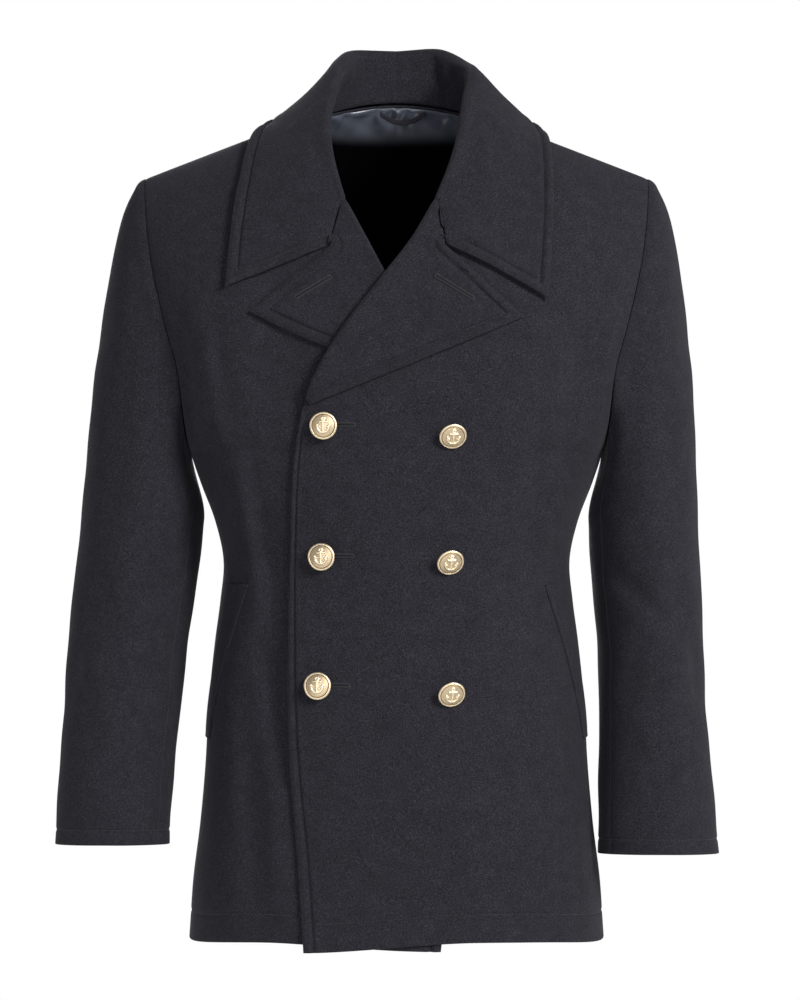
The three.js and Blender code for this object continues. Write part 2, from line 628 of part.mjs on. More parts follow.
const COLLAR_LIFT = COLLAR_WALL + 2.5;
function collarEdge(side, table, at) {
  const onBody = ({ at: station, edgeX, edgeZ }) => {
    const quarter = quarterAt(side, station < 3);
    const z = station === 3 ? ridgeZ(-1, edgeX) + 1.07 * COLLAR_LIFT : edgeZ;
    const y = station === 3 ? 2 : bodyY(quarter, edgeX, z - COLLAR_LIFT / 2) + quarter.facing * COLLAR_LIFT;
    return { at: station, x: edgeX, y, z };
  };
  const rows = table.map(onBody);
  const last = rows.length - 2;
  if (at > last) {
    return new V3(side * blend(rows[last].x, rows[last + 1].x, at - last),
      blend(rows[last].y, rows[last + 1].y, at - last), blend(rows[last].z, rows[last + 1].z, at - last));
  }
  const smoothRows = rows.slice(0, -1);
  return new V3(side * read(smoothRows, "at", "x", at), read(smoothRows, "at", "y", at),
    read(smoothRows, "at", "z", at));
}

function collarCrest(side, table, at) {
  return new V3(side * read(table, "at", "crestX", at), read(table, "at", "crestY", at),
    read(table, "at", "crestZ", at));
}

function collar() {
  const stations = [6, 5.75, 5.5, 5.25, 5, 4.75, 4.5, 4.25, 4, 3.75, 3.5, 3.25, 3, 2.5, 2, 1.5, 1, 0.5];
  const ends = [...stations.map((at) => [-1, at]), [1, 0], ...stations.toReversed().map((at) => [1, at])];
  const crestAt = (k) => {
    const [side, at] = ends[Math.min(ends.length - 1, Math.max(0, k))];
    return collarCrest(side, side > 0 ? COLLAR_LEFT : COLLAR_RIGHT, at);
  };
  const gorges = { "1": rollAt(OVER, OVER_LAPEL, 1), "-1": rollAt(UNDER, UNDER_LAPEL, 1) };
  const beside = (corners) => ({
    ...corners,
    notch: [corners.notch[0] + GORGE_GAP, corners.notch[1] + GORGE_GAP],
  });
  const steps = { stand: 2, roll: 3, fall: 6 };
  const sections = ends.map(([side, at], k) => {
    const front = quarterAt(side, false);
    if (at === 6) {
      const section = lapelSection(front, beside(side > 0 ? OVER_LAPEL : UNDER_LAPEL), NOTCH_ROW, steps);
      section.points.forEach((p) => p.addScaledVector(gorges[side].along, (-side * GORGE_GAP) / 2));
      return section;
    }
    const table = side > 0 ? COLLAR_LEFT : COLLAR_RIGHT;
    const gorge = gorges[side];
    const near = smooth(4.6, 6, at);
    const along = crestAt(k + 1).sub(crestAt(k - 1)).normalize().lerp(gorge.along, near).normalize();
    const crest = crestAt(k).addScaledVector(
      gorge.crest.clone().sub(collarCrest(side, table, 6)), smooth(4.5, 6, at));
    const radius = blend(read(table, "at", "radius", at), gorge.radius, near);
    const swell = 0.3 * (1 - smooth(4.9, 5.8, at));
    const section = turnedSection({ seam: neckSeam(side, read(table, "at", "seam", at)), crest, along,
      edge: collarEdge(side, table, at), radius, swell, thickness: COLLAR_WALL,
      dip: read(table, "at", "dip", at) },
      steps);
    section.points = section.points.map((p, i) => {
      if (i < steps.stand + steps.roll) return p;
      return clearOfBody(quarterAt(Math.sign(p.x) || 1, p.y > ridgeY(-1, p.x)), p, COLLAR_LIFT);
    });
    return section;
  });
  piece("collar", turnedWall(sections, 1), navy);
}

// Where a place seen from the front or back lies on a quarter of the body, lifted off it.
function onBody(quarter, x, z, lift) {
  const y = bodyY(quarter, x, z);
  const dx = (bodyY(quarter, x + 1, z) - bodyY(quarter, x - 1, z)) / 2;
  const dz = (bodyY(quarter, x, z + 0.5) - bodyY(quarter, x, z - 1.5)) / 2;
  const normal = new V3(-dx, 1, -dz).multiplyScalar(quarter.facing).normalize();
  const p = new V3(x, y + (quarter.facing * SEAM_GAP) / 2, z).addScaledVector(normal, lift);
  return { point: p.setX(p.x * quarter.side), normal: normal.setX(normal.x * quarter.side) };
}

// The lapel's outer edge: along the lower edge from the break (0) to the point (1), straight to the notch
// (2), and straight up the gorge (3).
function lapelEdge(quarter, corners, reach) {
  const low = quarter.roll[0];
  const gorge = quarter.roll[quarter.roll.length - 1];
  const straight = (from, to, t) => [blend(from[0], to[0], t), blend(from[1], to[1], t)];
  if (reach > 2) return straight(corners.notch, [gorge.x, gorge.z], reach - 2);
  if (reach > 1) return straight(corners.point, corners.notch, reach - 1);
  const t = reach;
  const k = 1 - t;
  const at = (from, over, to) => k * k * from + 2 * k * t * over + t * t * to;
  return [at(low.x, corners.bend[0], corners.point[0]), at(low.z, corners.bend[1], corners.point[1])];
}

// The roll line's place on a front, from the break (0) to the gorge (1), its direction and the crest above it.
function rollAt(quarter, corners, share) {
  const low = quarter.roll[0];
  const gorge = quarter.roll[quarter.roll.length - 1];
  const place = (t) => {
    const x = blend(low.x, gorge.x, t);
    return onBody(quarter, x, read(quarter.roll, "x", "z", x), 0);
  };
  const { point: seam, normal } = place(share);
  const along = place(Math.min(1, share + 0.03)).point.sub(place(Math.max(0, share - 0.03)).point);
  along.normalize().multiplyScalar(-quarter.side);
  const full = smooth(corners.rises[0], corners.rises[1], share);
  const size = blend(BREAK.size, 1, smooth(0, BREAK.share, share));
  const crest = seam.clone().addScaledVector(normal, size * blend(FLAT_ROLL.crest, FULL_ROLL.crest, full));
  return { seam, crest, along, size, radius: size * blend(FLAT_ROLL.radius, FULL_ROLL.radius, full) };
}

function outOfFront(quarter, p, lift) {
  const least = onBody(quarter, quarter.side * p.x, p.z, lift).point.y;
  return p.y > least ? p.clone().setY(least) : p;
}

// A section across a lapel, from its roll line to its outer edge.
function lapelSection(quarter, corners, row, steps) {
  const roll = rollAt(quarter, corners, row.roll);
  const thickness = LAPEL_WALL * roll.size;
  const lift = thickness + LAY_GAP;
  const edge = onBody(quarter, ...lapelEdge(quarter, corners, row.edge), lift).point;
  const swell = 0.3 * (1 - smooth(0.65, 0.95, row.roll));
  const section = turnedSection({ ...roll, edge, swell, thickness }, steps);
  const head = section.normals.pop();
  for (let i = 0; i <= steps.fall; i += 1) {
    const k = steps.stand + steps.roll + i;
    const p = outOfFront(quarter, section.points[k], lift);
    const { normal } = onBody(quarter, quarter.side * p.x, p.z, 0);
    section.points[k] = p;
    section.normals.push(head.clone().lerp(normal, smooth(0, 0.4, i / steps.fall)).normalize());
  }
  return section;
}

function lapel(name, quarter, corners) {
  const steps = { stand: 1, roll: 3, fall: 6 };
  const sections = LAPEL_ROWS.map((row) => lapelSection(quarter, corners, row, steps));
  const { along } = rollAt(quarter, corners, 1);
  sections.at(-1).points.forEach((p) => p.addScaledVector(along, (quarter.side * GORGE_GAP) / 2));
  piece(name, turnedWall(sections, -quarter.side), navy);
}

// A patch on a front, between two angles round the body that change from its top to its bottom.
function welt(name, quarter) {
  const points = grid(evenly(6), evenly(4), (down, back) => {
    const z = blend(WELT.top, WELT.bottom, down);
    const angle = blend(blend(WELT.frontTop, WELT.frontBottom, down),
      blend(WELT.backTop, WELT.backBottom, down), back) * DEGREE;
    const x = read(BODY_LEVELS, "z", "half", z) * Math.sin(angle) ** (2 / BUST_POWER);
    return onBody(quarter, x, z, WELT_WALL + WELT_GAP).point;
  });
  piece(name, wall(points, quarter.side, WELT_WALL), navy);
}

// A domed shank button with a raised rim, facing +Z before it is turned.
function button(name, quarter, [x, z], droop, turn) {
  const r = BUTTON_RADIUS;
  const profile = [[0, -BUTTON_SEAT], [2.6, -BUTTON_SEAT], [2.6, -0.6], [r - 1.6, -0.4], [r - 0.4, 0.3],
    [r, 1.2], [r - 0.7, 2.1], [r - 1.9, 2.3], [r - 2.6, 1.9], [7.2, 2.9], [3.6, 3.6], [0, 3.8]];
  const lathe = new THREE.LatheGeometry(profile.map(([a, b]) => new THREE.Vector2(a, b)), 16);
  lathe.rotateX(Math.PI / 2);
  const mesh = piece(name, lathe, gilt);
  const { point, normal } = onBody(quarter, quarter.side * x, z, BUTTON_SEAT + BUTTON_GAP);
  const face = normal.clone().applyAxisAngle(new V3(1, 0, 0), droop * DEGREE);
  face.applyAxisAngle(new V3(0, 0, 1), turn * DEGREE);
  mesh.quaternion.setFromUnitVectors(new V3(0, 0, 1), face);
  const foot = new V3(0, 0, -BUTTON_SEAT).applyQuaternion(mesh.quaternion);
  const lift = droop > 0 ? SHOW_LIFT : 0;
  mesh.position.copy(point).addScaledVector(normal, lift - BUTTON_SEAT).sub(foot);
}

// The part of the satin lining that shows inside the neck: the back's own points, moved in.
function backLining() {
  const rows = rowShares().slice(-LINING_ROWS);
  const half = (quarter) => {
    const columns = columnShares(quarter);
    const points = grid(rows, columns, (share, s) => quarterPoint(quarter, s, share));
    const normals = gridNormals(points, -quarter.side);
    for (const row of normals) row.at(-1).setX(0).normalize();
    return points.map((row, i) => row.map((p, j) => p.clone().addScaledVector(normals[i][j], -LINING_BELOW))
      .slice(LINING_COLUMN));
  };
  const right = half(BACK_RIGHT);
  const left = half(BACK_LEFT);
  const points = right.map((row, i) => [...row.slice(0, -1), ...left[i].toReversed()]);
  piece("lining_back", wall(points, 1, SATIN), satin);
}

function ribbonLoop() {
  const rows = evenly(8);
  const points = grid(rows, [0, 1], (t, w) => {
    const x = blend(LOOP.from, LOOP.to, t);
    const sag = 4 * t * (1 - t);
    const y = ridgeY(1, x) - LOOP.inside - LOOP.bow * sag;
    return new V3(x, y, LOOP.z - LOOP.sag * sag - LOOP.wide * w);
  });
  piece("hanger_loop", wall(points, 1, LOOP.thick), navy);
}

bodyPanel("front_left", OVER);
bodyPanel("front_right", UNDER);
bodyPanel("back_left", BACK_LEFT);
bodyPanel("back_right", BACK_RIGHT);
for (const [word, side, table] of [["left", 1, SLEEVE_LEFT], ["right", -1, SLEEVE_RIGHT]]) {
  sleevePanel(`sleeve_upper_${word}`, side, table, HINDARM_SEAM - 360, FOREARM_SEAM, 14);
  sleevePanel(`sleeve_under_${word}`, side, table, FOREARM_SEAM, HINDARM_SEAM, 9);
}
collar();
lapel("lapel_left", OVER, OVER_LAPEL);
lapel("lapel_right", UNDER, UNDER_LAPEL);
welt("welt_left", OVER);
welt("welt_right", UNDER);
for (const { name, fastened, show, droop, turn } of BUTTON_ROWS) {
  button(`button_${name}_fastened`, OVER, fastened, 0, 0);
  button(`button_${name}_show`, OVER, show, droop, turn);
}
backLining();
ribbonLoop();

export default group;
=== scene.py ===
"""Double-breasted pea coat of navy-black wool melton, filled out and empty, as it is worn.

Every length is in millimetres until a mesh is made, which turns it to metres. +Z is up, the front faces -Y and
+X is the wearer's left. The origin is midway between the two neck points, where the shoulder seams meet the collar.
"""

from __future__ import annotations

import logging
import math
from dataclasses import dataclass, field, replace
from enum import Enum
from typing import Callable, Sequence

import bpy
import numpy as np
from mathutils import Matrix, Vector

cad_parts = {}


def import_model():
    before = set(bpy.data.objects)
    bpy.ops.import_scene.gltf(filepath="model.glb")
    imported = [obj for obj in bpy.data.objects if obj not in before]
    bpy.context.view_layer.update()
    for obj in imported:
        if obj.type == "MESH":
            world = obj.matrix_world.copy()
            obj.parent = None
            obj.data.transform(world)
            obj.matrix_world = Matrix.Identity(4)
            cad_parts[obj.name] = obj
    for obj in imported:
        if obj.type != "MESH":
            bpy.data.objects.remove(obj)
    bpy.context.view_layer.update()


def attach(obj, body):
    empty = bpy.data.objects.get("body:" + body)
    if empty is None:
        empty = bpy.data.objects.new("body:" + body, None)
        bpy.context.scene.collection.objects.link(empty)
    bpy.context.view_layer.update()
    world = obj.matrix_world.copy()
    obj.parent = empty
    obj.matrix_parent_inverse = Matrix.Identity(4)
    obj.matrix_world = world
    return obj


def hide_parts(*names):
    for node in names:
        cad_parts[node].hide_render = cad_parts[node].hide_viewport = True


LOG = logging.getLogger("pea_coat")
MM = 0.001
Array = np.ndarray
Material = bpy.types.Material
Object = bpy.types.Object

# Cloth walls and the space between pieces
MELTON = 2.5
COLLAR_WALL = 3.4
LAPEL_WALL = 3.2
SATIN = 1.0
SEAM_GAP = 0.0
LAY_GAP = 1.2
GORGE_GAP = 0.5
STAND_GAP = 1.2
STAND_OUT = 1.3

# Sewing: how far in from an edge its line of stitches runs
EDGE_STITCH = 9.8
HEM_STITCH = 26.0
CUFF_STITCH = 14.0


# Tables


@dataclass(frozen=True)
class Level:
    """A level of the body: half width, depth before and behind the side seams, and its reach round to the side."""

    z: float
    half: float
    front: float
    back: float
    reach: float


@dataclass(frozen=True)
class EdgeRow:
    """A point of a front edge or a roll line, seen from the front."""

    x: float
    z: float


@dataclass(frozen=True)
class CollarRow:
    """A section of the collar: the neck seam's station below it, the top of its roll and its outer edge."""

    at: float
    seam: float
    crest_x: float
    crest_y: float
    crest_z: float
    radius: float
    edge_x: float
    edge_z: float
    dip: float = 0.0


@dataclass(frozen=True)
class SleeveRow:
    """A ring of a sleeve: its centre, half width across, half depth and drop at the back."""

    z: float
    x: float
    y: float
    across: float
    deep: float
    tilt: float


@dataclass(frozen=True)
class Fold:
    """A soft ridge, or with a negative height a trough, between two places seen from the front or the back."""

    start: tuple[float, float]
    end: tuple[float, float]
    wide: float
    high: float

    def height(self, x: Array, z: Array) -> Array:
        """How far the fold moves the surface out.

        Its height falls off as a bell curve away from its line, and as a half sine towards the line's two ends.

        Args:
            x: sideways places.
            z: heights of the places.

        Returns:
            Heights above the plain surface, in the shape of x.
        """
        dx, dz = self.end[0] - self.start[0], self.end[1] - self.start[1]
        along = np.clip(((x - self.start[0]) * dx + (z - self.start[1]) * dz) / (dx * dx + dz * dz), 0, 1)
        away = np.hypot(x - self.start[0] - along * dx, z - self.start[1] - along * dz)
        return self.high * np.exp(-((away / self.wide) ** 2)) * np.sin(np.pi * (0.15 + 0.7 * along))


BODY_LEVELS = (
    Level(-790, 197.5, 143, 136, 1),
    Level(-730, 194, 140, 134, 1),
    Level(-673, 187, 139, 131, 1),
    Level(-616, 182, 138, 126, 1),
    Level(-560, 179, 136, 119, 1),
    Level(-501, 173, 132, 112, 1),
    Level(-463, 168, 129, 108, 1),
    Level(-425, 165, 128, 108, 1),
    Level(-387, 173, 130, 112, 1),
    Level(-350, 187, 133, 116, 1),
    Level(-322, 196, 135, 119, 1),
    Level(-300, 199, 136, 121, 0.985),
    Level(-245, 205, 137, 124, 0.94),
    Level(-200, 217, 137, 125, 0.925),
    Level(-133, 232, 136, 124, 0.92),
    Level(-60, 240, 134, 122, 0.92),
    Level(20, 242, 134, 120, 0.92),
)
OVER_EDGE = (
    EdgeRow(-85, -790), EdgeRow(-91, -700), EdgeRow(-99, -600), EdgeRow(-100, -480), EdgeRow(-98, -400),
    EdgeRow(-95.5, -340), EdgeRow(-90, -300), EdgeRow(-86, -283),
)
UNDER_EDGE = (EdgeRow(-40, -790), EdgeRow(-71, -500), EdgeRow(-78, -275))
OVER_ROLL = (EdgeRow(-86, -283), EdgeRow(-60, -233), EdgeRow(-10, -165), EdgeRow(18, -128), EdgeRow(38, -93))
UNDER_ROLL = (EdgeRow(-78, -275), EdgeRow(-42, -230), EdgeRow(10, -165), EdgeRow(31, -128), EdgeRow(50, -93))
COLLAR_LEFT = (
    CollarRow(0, 0, 0, 81, 72, 9, 0, -8),
    CollarRow(1, 0.68, 42, 72, 73, 9, 56, -9),
    CollarRow(2, 1.4, 66, 42, 58, 8.5, 106, -15, dip=2),
    CollarRow(3, 2.25, 73, 4, 42, 8, 141, -17, dip=5),
    CollarRow(4, 3.3, 62, -36, 3, 6.5, 147, -76, dip=2),
    CollarRow(5, 4.5, 54, -72, -41, 5.5, 140, -183),
    CollarRow(6, 6, 38, -102.5, -90, 4.8, 46, -133),
)
COLLAR_RIGHT = (
    CollarRow(0, 0, 0, 81, 72, 9, 0, -8),
    CollarRow(1, 0.66, 41, 72, 72, 9, 52, -9),
    CollarRow(2, 1.35, 51, 44, 64, 8.5, 98, -15, dip=8),
    CollarRow(3, 2.25, 57, 4, 43, 7.5, 131, -14, dip=16),
    CollarRow(4, 3.3, 62, -36, 0, 6.5, 149, -79, dip=5),
    CollarRow(5, 4.45, 61, -71, -40, 5.5, 158, -172),
    CollarRow(6, 6, 50, -102, -90, 4.8, 62, -133),
)
SLEEVE_LEFT = (
    SleeveRow(-387, 236, 8, 52.5, 76, 0),
    SleeveRow(-444, 238.5, 4, 52, 70, 1),
    SleeveRow(-500, 242, -2, 50.5, 65, 2),
    SleeveRow(-560, 243, -11, 50.5, 61, 3),
    SleeveRow(-620, 245, -22, 53.5, 57, 4),
    SleeveRow(-672, 246, -34, 55.8, 54, 4),
    SleeveRow(-700, 247, -41, 57, 53, 4),
)
SLEEVE_RIGHT = (
    SleeveRow(-387, 243, 8, 59, 76, 0),
    SleeveRow(-444, 249, 4, 58.5, 71, 1),
    SleeveRow(-500, 256, -2, 57, 66, 2),
    SleeveRow(-560, 260, -11, 55.5, 61, 3),
    SleeveRow(-620, 265, -22, 54.5, 57, 4),
    SleeveRow(-666, 267, -32, 54, 54, 4),
    SleeveRow(-691.5, 268, -39, 54, 53, 4),
)

# Folds. The first rows of each are the large ones, and the rest are the fine drag lines beside them.
OVER_FOLDS = (
    Fold((184, -180), (134, -345), 24, -8),
    Fold((40, -640), (150, -672), 22, 3),
    Fold((150, -560), (165, -700), 20, 3.5),
    Fold((206, -150), (190, -270), 9, 3.0),
    Fold((150, -230), (142, -350), 13, 4),
    Fold((176, -330), (128, -420), 12, 4.5),
    Fold((150, -330), (104, -440), 13, -4.5),
    Fold((140, -420), (112, -560), 16, -2.2),
    Fold((20, -655), (120, -640), 10, 1.8),
    Fold((60, -690), (170, -705), 10, 1.8),
    Fold((-60, -690), (60, -668), 12, 1.8),
    Fold((60, -300), (70, -395), 18, -1.2),
    Fold((-20, -330), (10, -520), 26, 1.6),
    Fold((100, -560), (92, -740), 18, -1.8),
)
UNDER_FOLDS = (
    Fold((182, -165), (160, -310), 16, 8),
    Fold((160, -310), (128, -480), 18, 8),
    Fold((205, -190), (186, -300), 12, -4),
    Fold((150, -500), (165, -700), 22, 4),
    Fold((196, -170), (176, -330), 6, 3.0),
    Fold((172, -180), (148, -345), 9, -5.5),
    Fold((150, -250), (126, -380), 8, -2.4),
    Fold((212, -140), (200, -250), 6, 2.4),
    Fold((148, -330), (118, -500), 9, 4.4),
    Fold((128, -380), (106, -620), 12, -6.5),
    Fold((142, -540), (128, -740), 12, -5),
    Fold((112, -600), (108, -760), 13, 4),
)
BACK_FOLDS = (
    Fold((186, -180), (150, -420), 20, 5),
    Fold((60, -400), (85, -720), 30, 3),
    Fold((140, -520), (150, -740), 24, 4),
    Fold((206, -170), (190, -290), 9, 2.6),
    Fold((165, -230), (128, -380), 12, -3),
    Fold((30, -120), (90, -190), 22, 1.6),
    Fold((110, -480), (118, -640), 16, -2.6),
    Fold((20, -330), (95, -372), 12, 2.2),
    Fold((40, -420), (120, -400), 10, -1.8),
)


# Arithmetic on whole arrays


def smooth(low: float, high: float, value: Array | float) -> Array:
    """A rise from 0 at low to 1 at high with level ends: 3 t squared less 2 t cubed."""
    t = np.clip((np.asarray(value, float) - low) / (high - low), 0, 1)
    return t * t * (3 - 2 * t)


def unit(v: Array) -> Array:
    """The vectors at length 1."""
    return v / np.maximum(np.linalg.norm(v, axis=-1, keepdims=True), 1e-9)


def dot(a: Array, b: Array) -> Array:
    """The vectors' scalar products, with a last axis of one."""
    return np.sum(a * b, axis=-1, keepdims=True)


def vectors(x: Array, y: Array, z: Array) -> Array:
    """Points or vectors from their three parts, which are spread to one shape."""
    return np.stack(np.broadcast_arrays(x, y, z), axis=-1).astype(float)


def steps(*runs: tuple[float, float, float]) -> Array:
    """Places along one or more runs, each (from, to, spacing), with the shared ends once."""
    parts = [np.linspace(a, b, max(1, round(abs(b - a) / gap)), endpoint=False) for a, b, gap in runs]
    return np.concatenate([*parts, [runs[-1][1]]])


class Curve:
    """A smooth curve through a table's rows: a cubic between two rows, and level past the first and last."""

    def __init__(self, rows: Sequence, key: str, value: str) -> None:
        """Reads the two named columns, with the rows in rising order of the key."""
        pairs = sorted((getattr(row, key), getattr(row, value)) for row in rows)
        self.keys, self.values = np.array(pairs, float).T
        slopes = np.diff(self.values) / np.diff(self.keys)
        self.tangents = np.concatenate([slopes[:1], (slopes[1:] + slopes[:-1]) / 2, slopes[-1:]])

    def __call__(self, at: Array | float) -> Array:
        """The curve's value at each key, by the cubic whose tangents are the mean of the slopes beside a row."""
        i = np.clip(np.searchsorted(self.keys, at, side="right") - 1, 0, len(self.keys) - 2)
        width = self.keys[i + 1] - self.keys[i]
        t = np.clip((at - self.keys[i]) / width, 0, 1)
        a, b = self.values[i], self.values[i + 1]
        ta, tb = self.tangents[i] * width, self.tangents[i + 1] * width
        return a + t * (ta + t * (3 * (b - a) - 2 * ta - tb + t * (2 * (a - b) + ta + tb)))


def uneven(u: Array, v: Array, size: float) -> Array:
    """Slow unevenness of cloth: five sine waves of lengths near size, in directions that don't repeat, summed."""
    waves = ((1.0, 0.31, 0.4), (-0.55, 0.93, 2.1), (0.27, -1.21, 4.4), (1.37, 0.77, 1.3), (-1.13, 1.49, 5.2))
    turns = 2 * np.pi / size
    return sum(np.sin(turns * (a * u + b * v) + start) for a, b, start in waves) / len(waves)


# Surfaces


@dataclass
class Sheet:
    """One face of a cloth wall as a grid of points, with its outward normals."""

    points: Array
    turn: int
    normals: Array = field(init=False)

    def __post_init__(self) -> None:
        """Works out the normals of the grid as it stands."""
        self.normals = self.grid_normals()

    def grid_normals(self) -> Array:
        """Outward normals: the cross product of the differences along the rows and along the columns."""
        down, across = np.gradient(self.points, axis=0), np.gradient(self.points, axis=1)
        return unit(np.cross(down, across)) * self.turn

    def raise_by(self, height: Array) -> None:
        """Moves the points out along their normals, and works the normals out again."""
        self.points = self.points + self.normals * height[..., None]
        self.normals = self.grid_normals()

    def along(self, axis: int, from_end: bool) -> Array:
        """Distance of each point from one border, measured along its own grid line."""
        lengths = np.linalg.norm(np.diff(self.points, axis=axis), axis=-1)
        total = np.cumsum(lengths, axis=axis)
        total = np.concatenate([np.zeros_like(total.take([0], axis)), total], axis=axis)
        return total.take([-1], axis) - total if from_end else total

    def from_line(self, line: Array) -> Array:
        """Distance of each point from a line of points, to the nearest place on any of its stretches."""
        start, step = line[:-1], np.diff(line, axis=0)
        square = np.maximum(np.sum(step * step, axis=-1), 1e-9)
        flat = self.points.reshape(-1, 3)

        def nearest(block: Array) -> Array:
            """Least distance of a block of points from all stretches at once."""
            away = block[:, None] - start
            t = np.clip(np.sum(away * step, axis=-1) / square, 0, 1)
            return np.linalg.norm(away - t[..., None] * step, axis=-1).min(axis=1)

        blocks = np.array_split(flat, max(1, len(flat) // 2000))
        return np.concatenate([nearest(block) for block in blocks]).reshape(self.points.shape[:2])

    def contour(self, distance: Array, level: float) -> tuple[Array, Array]:
        """Where each row crosses a level of a distance that falls towards the row's last point.

        Args:
            distance: a distance for each point.
            level: the distance at which the line runs.

        Returns:
            The line's points and the surface's normals there, one for each row that crosses the level.
        """
        inside = distance > level
        rows = np.flatnonzero(inside.any(axis=1) & ~inside[:, -1])
        j = distance.shape[1] - 1 - inside[rows, ::-1].argmax(axis=1)
        a, b = distance[rows, j], distance[rows, j + 1]
        t = ((a - level) / (a - b))[:, None]
        mix = lambda values: values[rows, j] * (1 - t) + values[rows, j + 1] * t
        return mix(self.points), unit(mix(self.normals))

    def turned(self) -> "Sheet":
        """The same face with its rows and columns exchanged and reversed, so that its first row ends each row."""
        return Sheet(self.points.transpose(1, 0, 2)[:, ::-1], self.turn)


class Border(Enum):
    """How a border of a cloth wall is finished."""

    ROUND = "turned in and pressed, so that it is round"
    SEAM = "sewn to its neighbour, with the seam's line pulled in"
    PLAIN = "cut square, where nothing shows it"


@dataclass(frozen=True)
class Borders:
    """The finish of the four borders: first and last row, first and last column."""

    first_row: Border
    last_row: Border
    first_column: Border
    last_column: Border

    def each(self) -> tuple[tuple[Border, int, bool], ...]:
        """Each border with the axis that runs towards it, and whether it is at that axis's end."""
        return (
            (self.first_row, 0, False), (self.last_row, 0, True),
            (self.first_column, 1, False), (self.last_column, 1, True),
        )


SEAM_DIP = 0.8
SEAM_WIDE = 2.0
ROUND_SHARE = 0.88


def wall(sheet: Sheet, thickness: float | Array, borders: Borders) -> tuple[Array, Array]:
    """A closed cloth wall behind a face.

    The back face is the front face moved in by the thickness. Near a round border both faces close in on each other
    as a half circle of the wall's thickness. Near a seam the front face dips as an exponential of the distance.

    Args:
        sheet: the front face.
        thickness: of the wall, one number or one for each point.
        borders: how each border is finished.

    Returns:
        The vertices and the four-sided faces.
    """
    thick = np.broadcast_to(thickness, sheet.points.shape[:2]).astype(float)
    close, dip = np.zeros_like(thick), np.zeros_like(thick)
    for finish, axis, from_end in borders.each():
        away = sheet.along(axis, from_end)
        if finish is Border.ROUND:
            part = 1 - np.clip(away / (thick / 2), 0, 1)
            close = np.maximum(close, ROUND_SHARE * thick / 2 * (1 - np.sqrt(1 - part * part)))
        elif finish is Border.SEAM:
            dip = np.maximum(dip, SEAM_DIP * np.exp(-away / SEAM_WIDE))
    front = sheet.points - sheet.normals * (close + dip)[..., None]
    back = sheet.points - sheet.normals * (thick - close)[..., None]
    return closed(front, back, sheet.turn)


def closed(front: Array, back: Array, turn: int) -> tuple[Array, Array]:
    """Joins two grids of one shape into a closed body, with a strip along each of their four borders."""
    rows, columns = front.shape[:2]
    a = np.arange(rows * columns).reshape(rows, columns)
    b = a + rows * columns
    quads = [
        (a[:-1, :-1], a[1:, :-1], a[1:, 1:], a[:-1, 1:]),
        (b[:-1, :-1], b[:-1, 1:], b[1:, 1:], b[1:, :-1]),
        (a[:-1, 0], b[:-1, 0], b[1:, 0], a[1:, 0]),
        (a[:-1, -1], a[1:, -1], b[1:, -1], b[:-1, -1]),
        (a[0, :-1], a[0, 1:], b[0, 1:], b[0, :-1]),
        (a[-1, :-1], b[-1, :-1], b[-1, 1:], a[-1, 1:]),
    ]
    faces = np.concatenate([np.stack(quad, axis=-1).reshape(-1, 4) for quad in quads])
    if turn < 0:
        faces = faces[:, ::-1]
    return np.concatenate([front.reshape(-1, 3), back.reshape(-1, 3)]), faces


def mesh_object(name: str, vertices: Array, faces: Array, finish: Material) -> Object:
    """Makes a smooth-shaded object at the origin from points in millimetres.

    Args:
        name: of the object.
        vertices: its points.
        faces: the indices of each face's corners.
        finish: its material.

    Returns:
        The object, linked to the scene.
    """
    mesh = bpy.data.meshes.new(name)
    mesh.from_pydata((vertices * MM).tolist(), [], faces.tolist())
    mesh.polygons.foreach_set("use_smooth", np.ones(len(mesh.polygons), bool))
    mesh.materials.append(finish)
    mesh.update()
    piece = bpy.data.objects.new(name, mesh)
    bpy.context.scene.collection.objects.link(piece)
    return piece


def dress(piece: Object, slot: str, *nodes: str) -> Object:
    """Lets a piece ride on the garment's one body, and hides and names the nodes it stands for."""
    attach(piece, "root")
    if nodes:
        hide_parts(*nodes)
    LOG.info("%s: %d faces, for %s", piece.name, len(piece.data.polygons), ", ".join(nodes) or "the looks alone")
    return piece


# The body's surface


@dataclass(frozen=True)
class Quarter:
    """One of the four quarters of the body. side is +1 on the wearer's left, facing is -1 in front."""

    side: int
    facing: int
    folds: tuple[Fold, ...]
    edge: tuple[EdgeRow, ...] = ()
    roll: tuple[EdgeRow, ...] = ()
    lapped: bool = False
    corner_drop: tuple[float, float, float] = (0, 1, 0)

    def inset(self, x: Array, z: Array) -> Array:
        """How far the under front is let in below the over one: more where the lapels cross."""
        if not self.lapped:
            return np.zeros(np.broadcast(x, z).shape)
        crossing = 4.2 + 5.0 * smooth(-310, -272, z)
        return (1 - smooth(106, 152, x)) * (1 - smooth(-165, -105, z)) * crossing


OVER = Quarter(1, -1, OVER_FOLDS, OVER_EDGE, OVER_ROLL, corner_drop=(75, -100, 9.5))
UNDER = Quarter(-1, -1, UNDER_FOLDS, UNDER_EDGE, UNDER_ROLL, lapped=True, corner_drop=(150, -50, 8.5))
BACK_LEFT = Quarter(1, 1, BACK_FOLDS)
BACK_RIGHT = Quarter(-1, 1, BACK_FOLDS)


